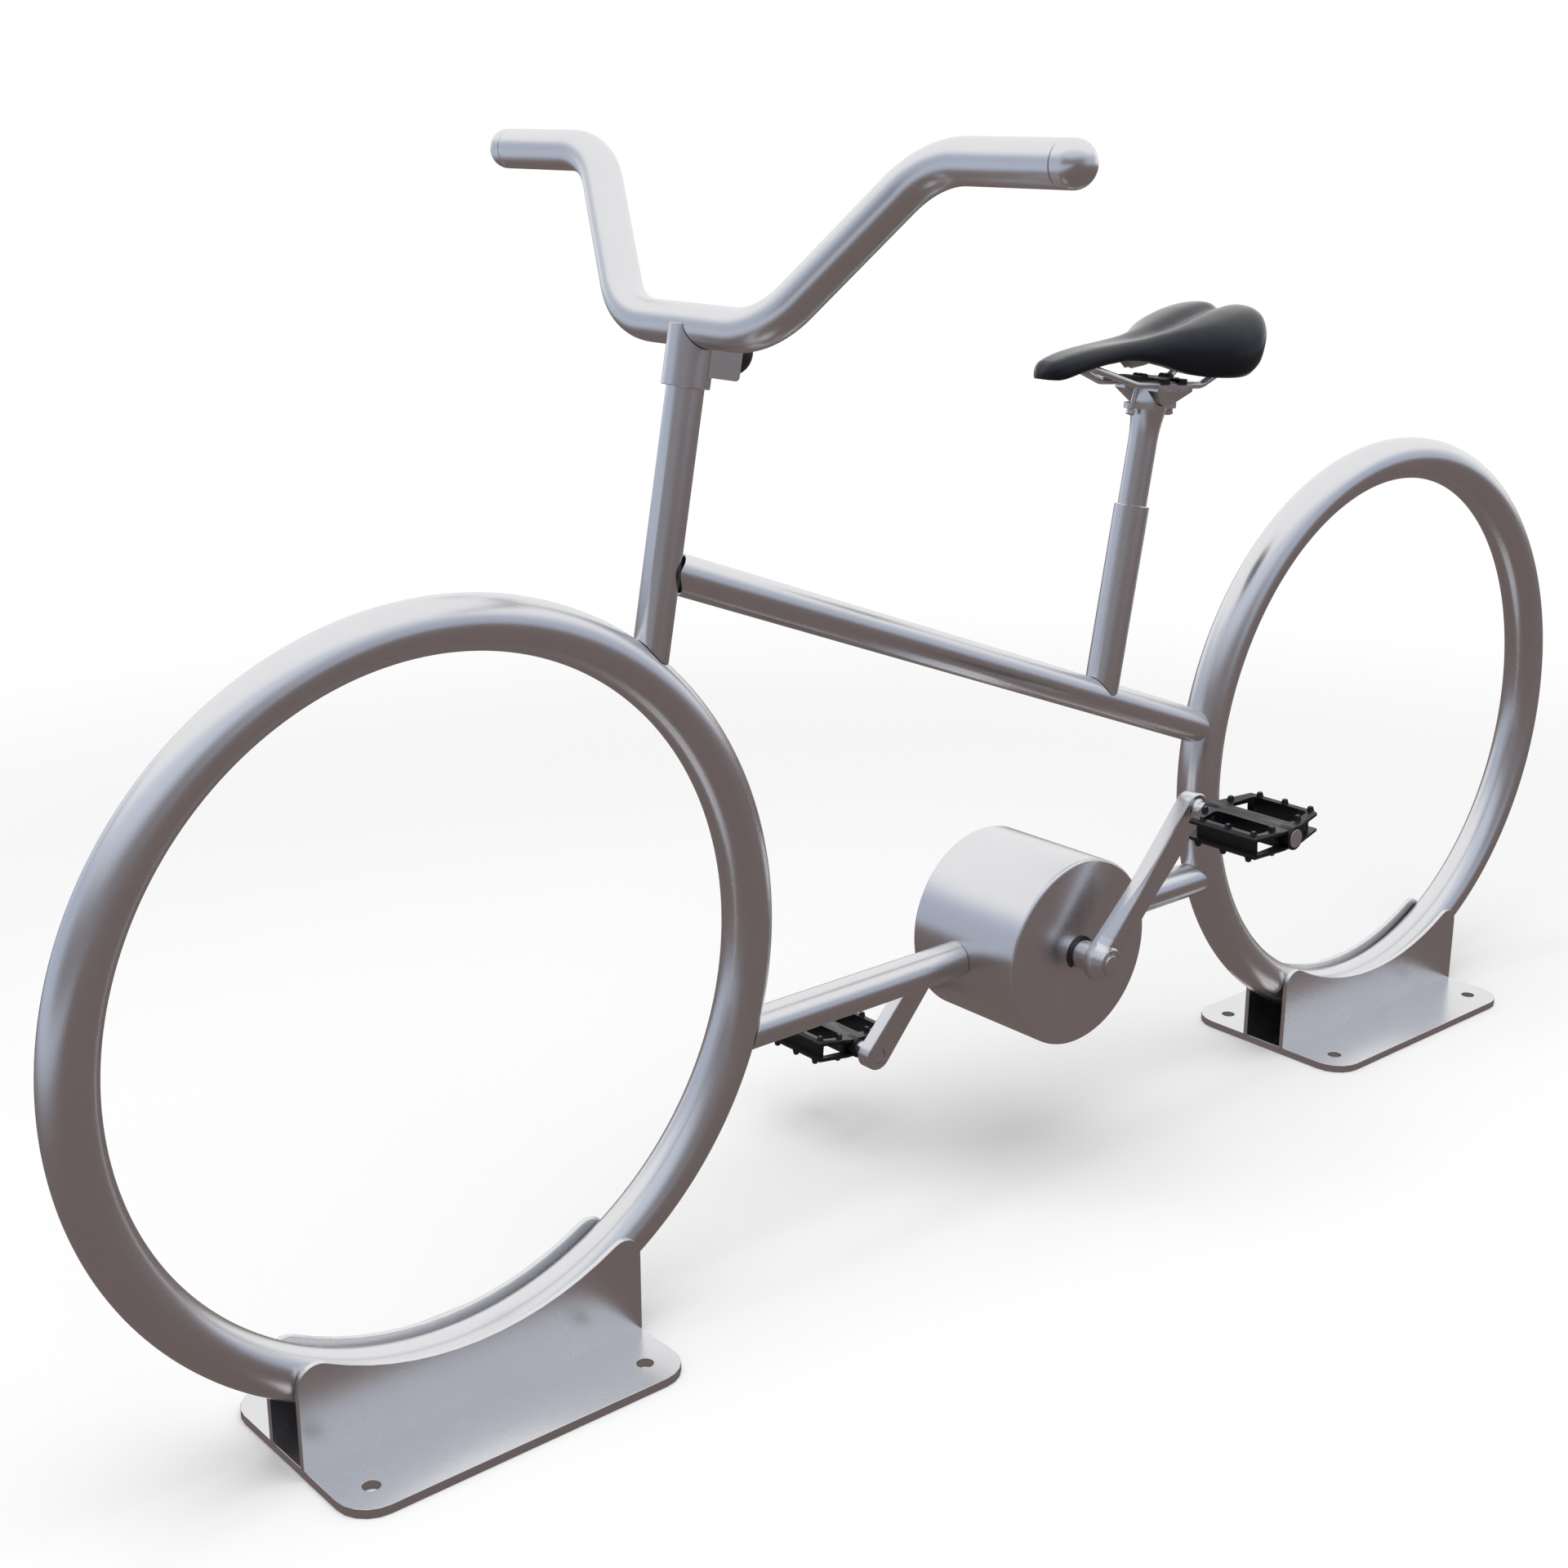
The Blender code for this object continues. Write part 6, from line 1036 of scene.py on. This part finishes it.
def with_ends(rings):
    """Round closings: towards the nose each ring shrinks on a low middle by cos a (1 - k sin a) and
    moves on by sin a; at the tail only the height shrinks, so that the last ring folds shut along
    its width."""
    angle = np.linspace(math.pi / 2, 0.0, 17)[:-1][:, None, None]
    middle = rings[0].min(0) + (rings[0].max(0) - rings[0].min(0)) * (0.5, 0.5, NOSE_TIP_SHARE)
    size = np.cos(angle) * (1 - NOSE_TAPER_SHARE * np.sin(angle))
    reach = np.array((SADDLE_NOSE_REACH - rings[0, 0, 0], 0.0, 0.0))
    nose = middle + (rings[0] - middle) * size + reach * np.sin(angle)
    columns = rings.shape[1]
    swing = np.sin(2 * math.pi * np.arange(columns) / columns)
    last = rings[-1]
    fold = last.copy()
    fold[:, 1] = 0.97 * np.abs(last[:, 1]).max() * np.sign(swing) * np.abs(swing) ** 0.8
    pull = SADDLE_TAIL_NOTCH * np.exp(-((fold[:, 1] / SADDLE_CHANNEL_HALF_WIDTH) ** 2))
    fold[:, 0] = SADDLE_NOSE_REACH - SADDLE_LENGTH + pull
    fold[:, 2] = (last[:, 2].max() + last[:, 2].min()) / 2
    turn = np.linspace(0.0, math.pi / 2, 7)[1:][:, None, None]
    tail = fold + (last - fold) * np.cos(turn) - np.array((0.0034, 0.0, 0.0)) * np.sin(turn)
    return np.concatenate((nose, rings, tail))


def cover_finish():
    """Grained cover under a soft clear coat: small cells with soft creases between them, painted shade
    darkening the colour in the creases, finer wrinkles over them, and a slight polish and fade in broad patches."""
    material, shader, point = new_finish("saddle_cover", {"Metallic": 0.0, "IOR": 1.28, "Coat Weight": 1.0,
                                                            "Coat IOR": 1.28, "Coat Roughness": 0.26})
    warp = point.node("ShaderNodeTexNoise", None, {"Vector": point, "Scale": 260.0, "Detail": 2.0}, "Color")
    bent = point.node("ShaderNodeVectorMath", {"operation": "MULTIPLY_ADD"},
                      {0: warp, 1: (0.0016, 0.0016, 0.0016), 2: point}, "Vector")
    cell = point.node("ShaderNodeTexVoronoi", {"feature": "DISTANCE_TO_EDGE"}, {"Vector": bent, "Scale": 620.0})
    wrinkle = point.node("ShaderNodeTexNoise", None, {"Vector": bent, "Scale": 1500.0, "Detail": 4.0})
    worn = point.node("ShaderNodeTexNoise", None, {"Vector": point, "Scale": 22.0, "Detail": 5.0, "Roughness": 0.6})
    # The cell relief below also darkens the colour in the grain's creases: painted crease shade.
    ridge_and_crease_shade = (cell * 6.0).held()
    wear = ((worn - 0.40) * 2.4).held()
    feed(shader, {
        # Base colour: darker in the creases as painted shade, paler in the random wear patches.
        "Base Color": (ridge_and_crease_shade * 0.55 + wear * 0.45).held().mixed((0.0030, 0.0042, 0.0085, 1.0),
                                                               (0.0055, 0.0072, 0.0130, 1.0)),
        "Roughness": 0.37 - ridge_and_crease_shade * 0.03 - wear * 0.04 + (wrinkle - 0.5) * 0.06,
        "Normal": point.node("ShaderNodeBump", None,
                             {"Strength": 0.08, "Distance": 0.0003, "Height": ridge_and_crease_shade * 0.7 + wrinkle * 0.3}),
    })
    return material


saddle_pad = dress(pad_skin("seat_cushion"), cover_finish(), "saddle_cover", "seat", "saddle_pad")


# Inner and small pieces that keep their own solids: the brake's insides, the spindle and the
# set screw behind the seat tube, in blackened or bright metal.
for node, finish in (("stator", dark_steel), ("rotor", dark_steel), ("bearing_left", dark_steel),
                     ("bearing_right", dark_steel), ("spindle", bright_aluminium),
                     ("seat_post_screw", dark_steel)):
    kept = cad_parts[node]
    kept.data.materials.clear()
    kept.data.materials.append(finish)
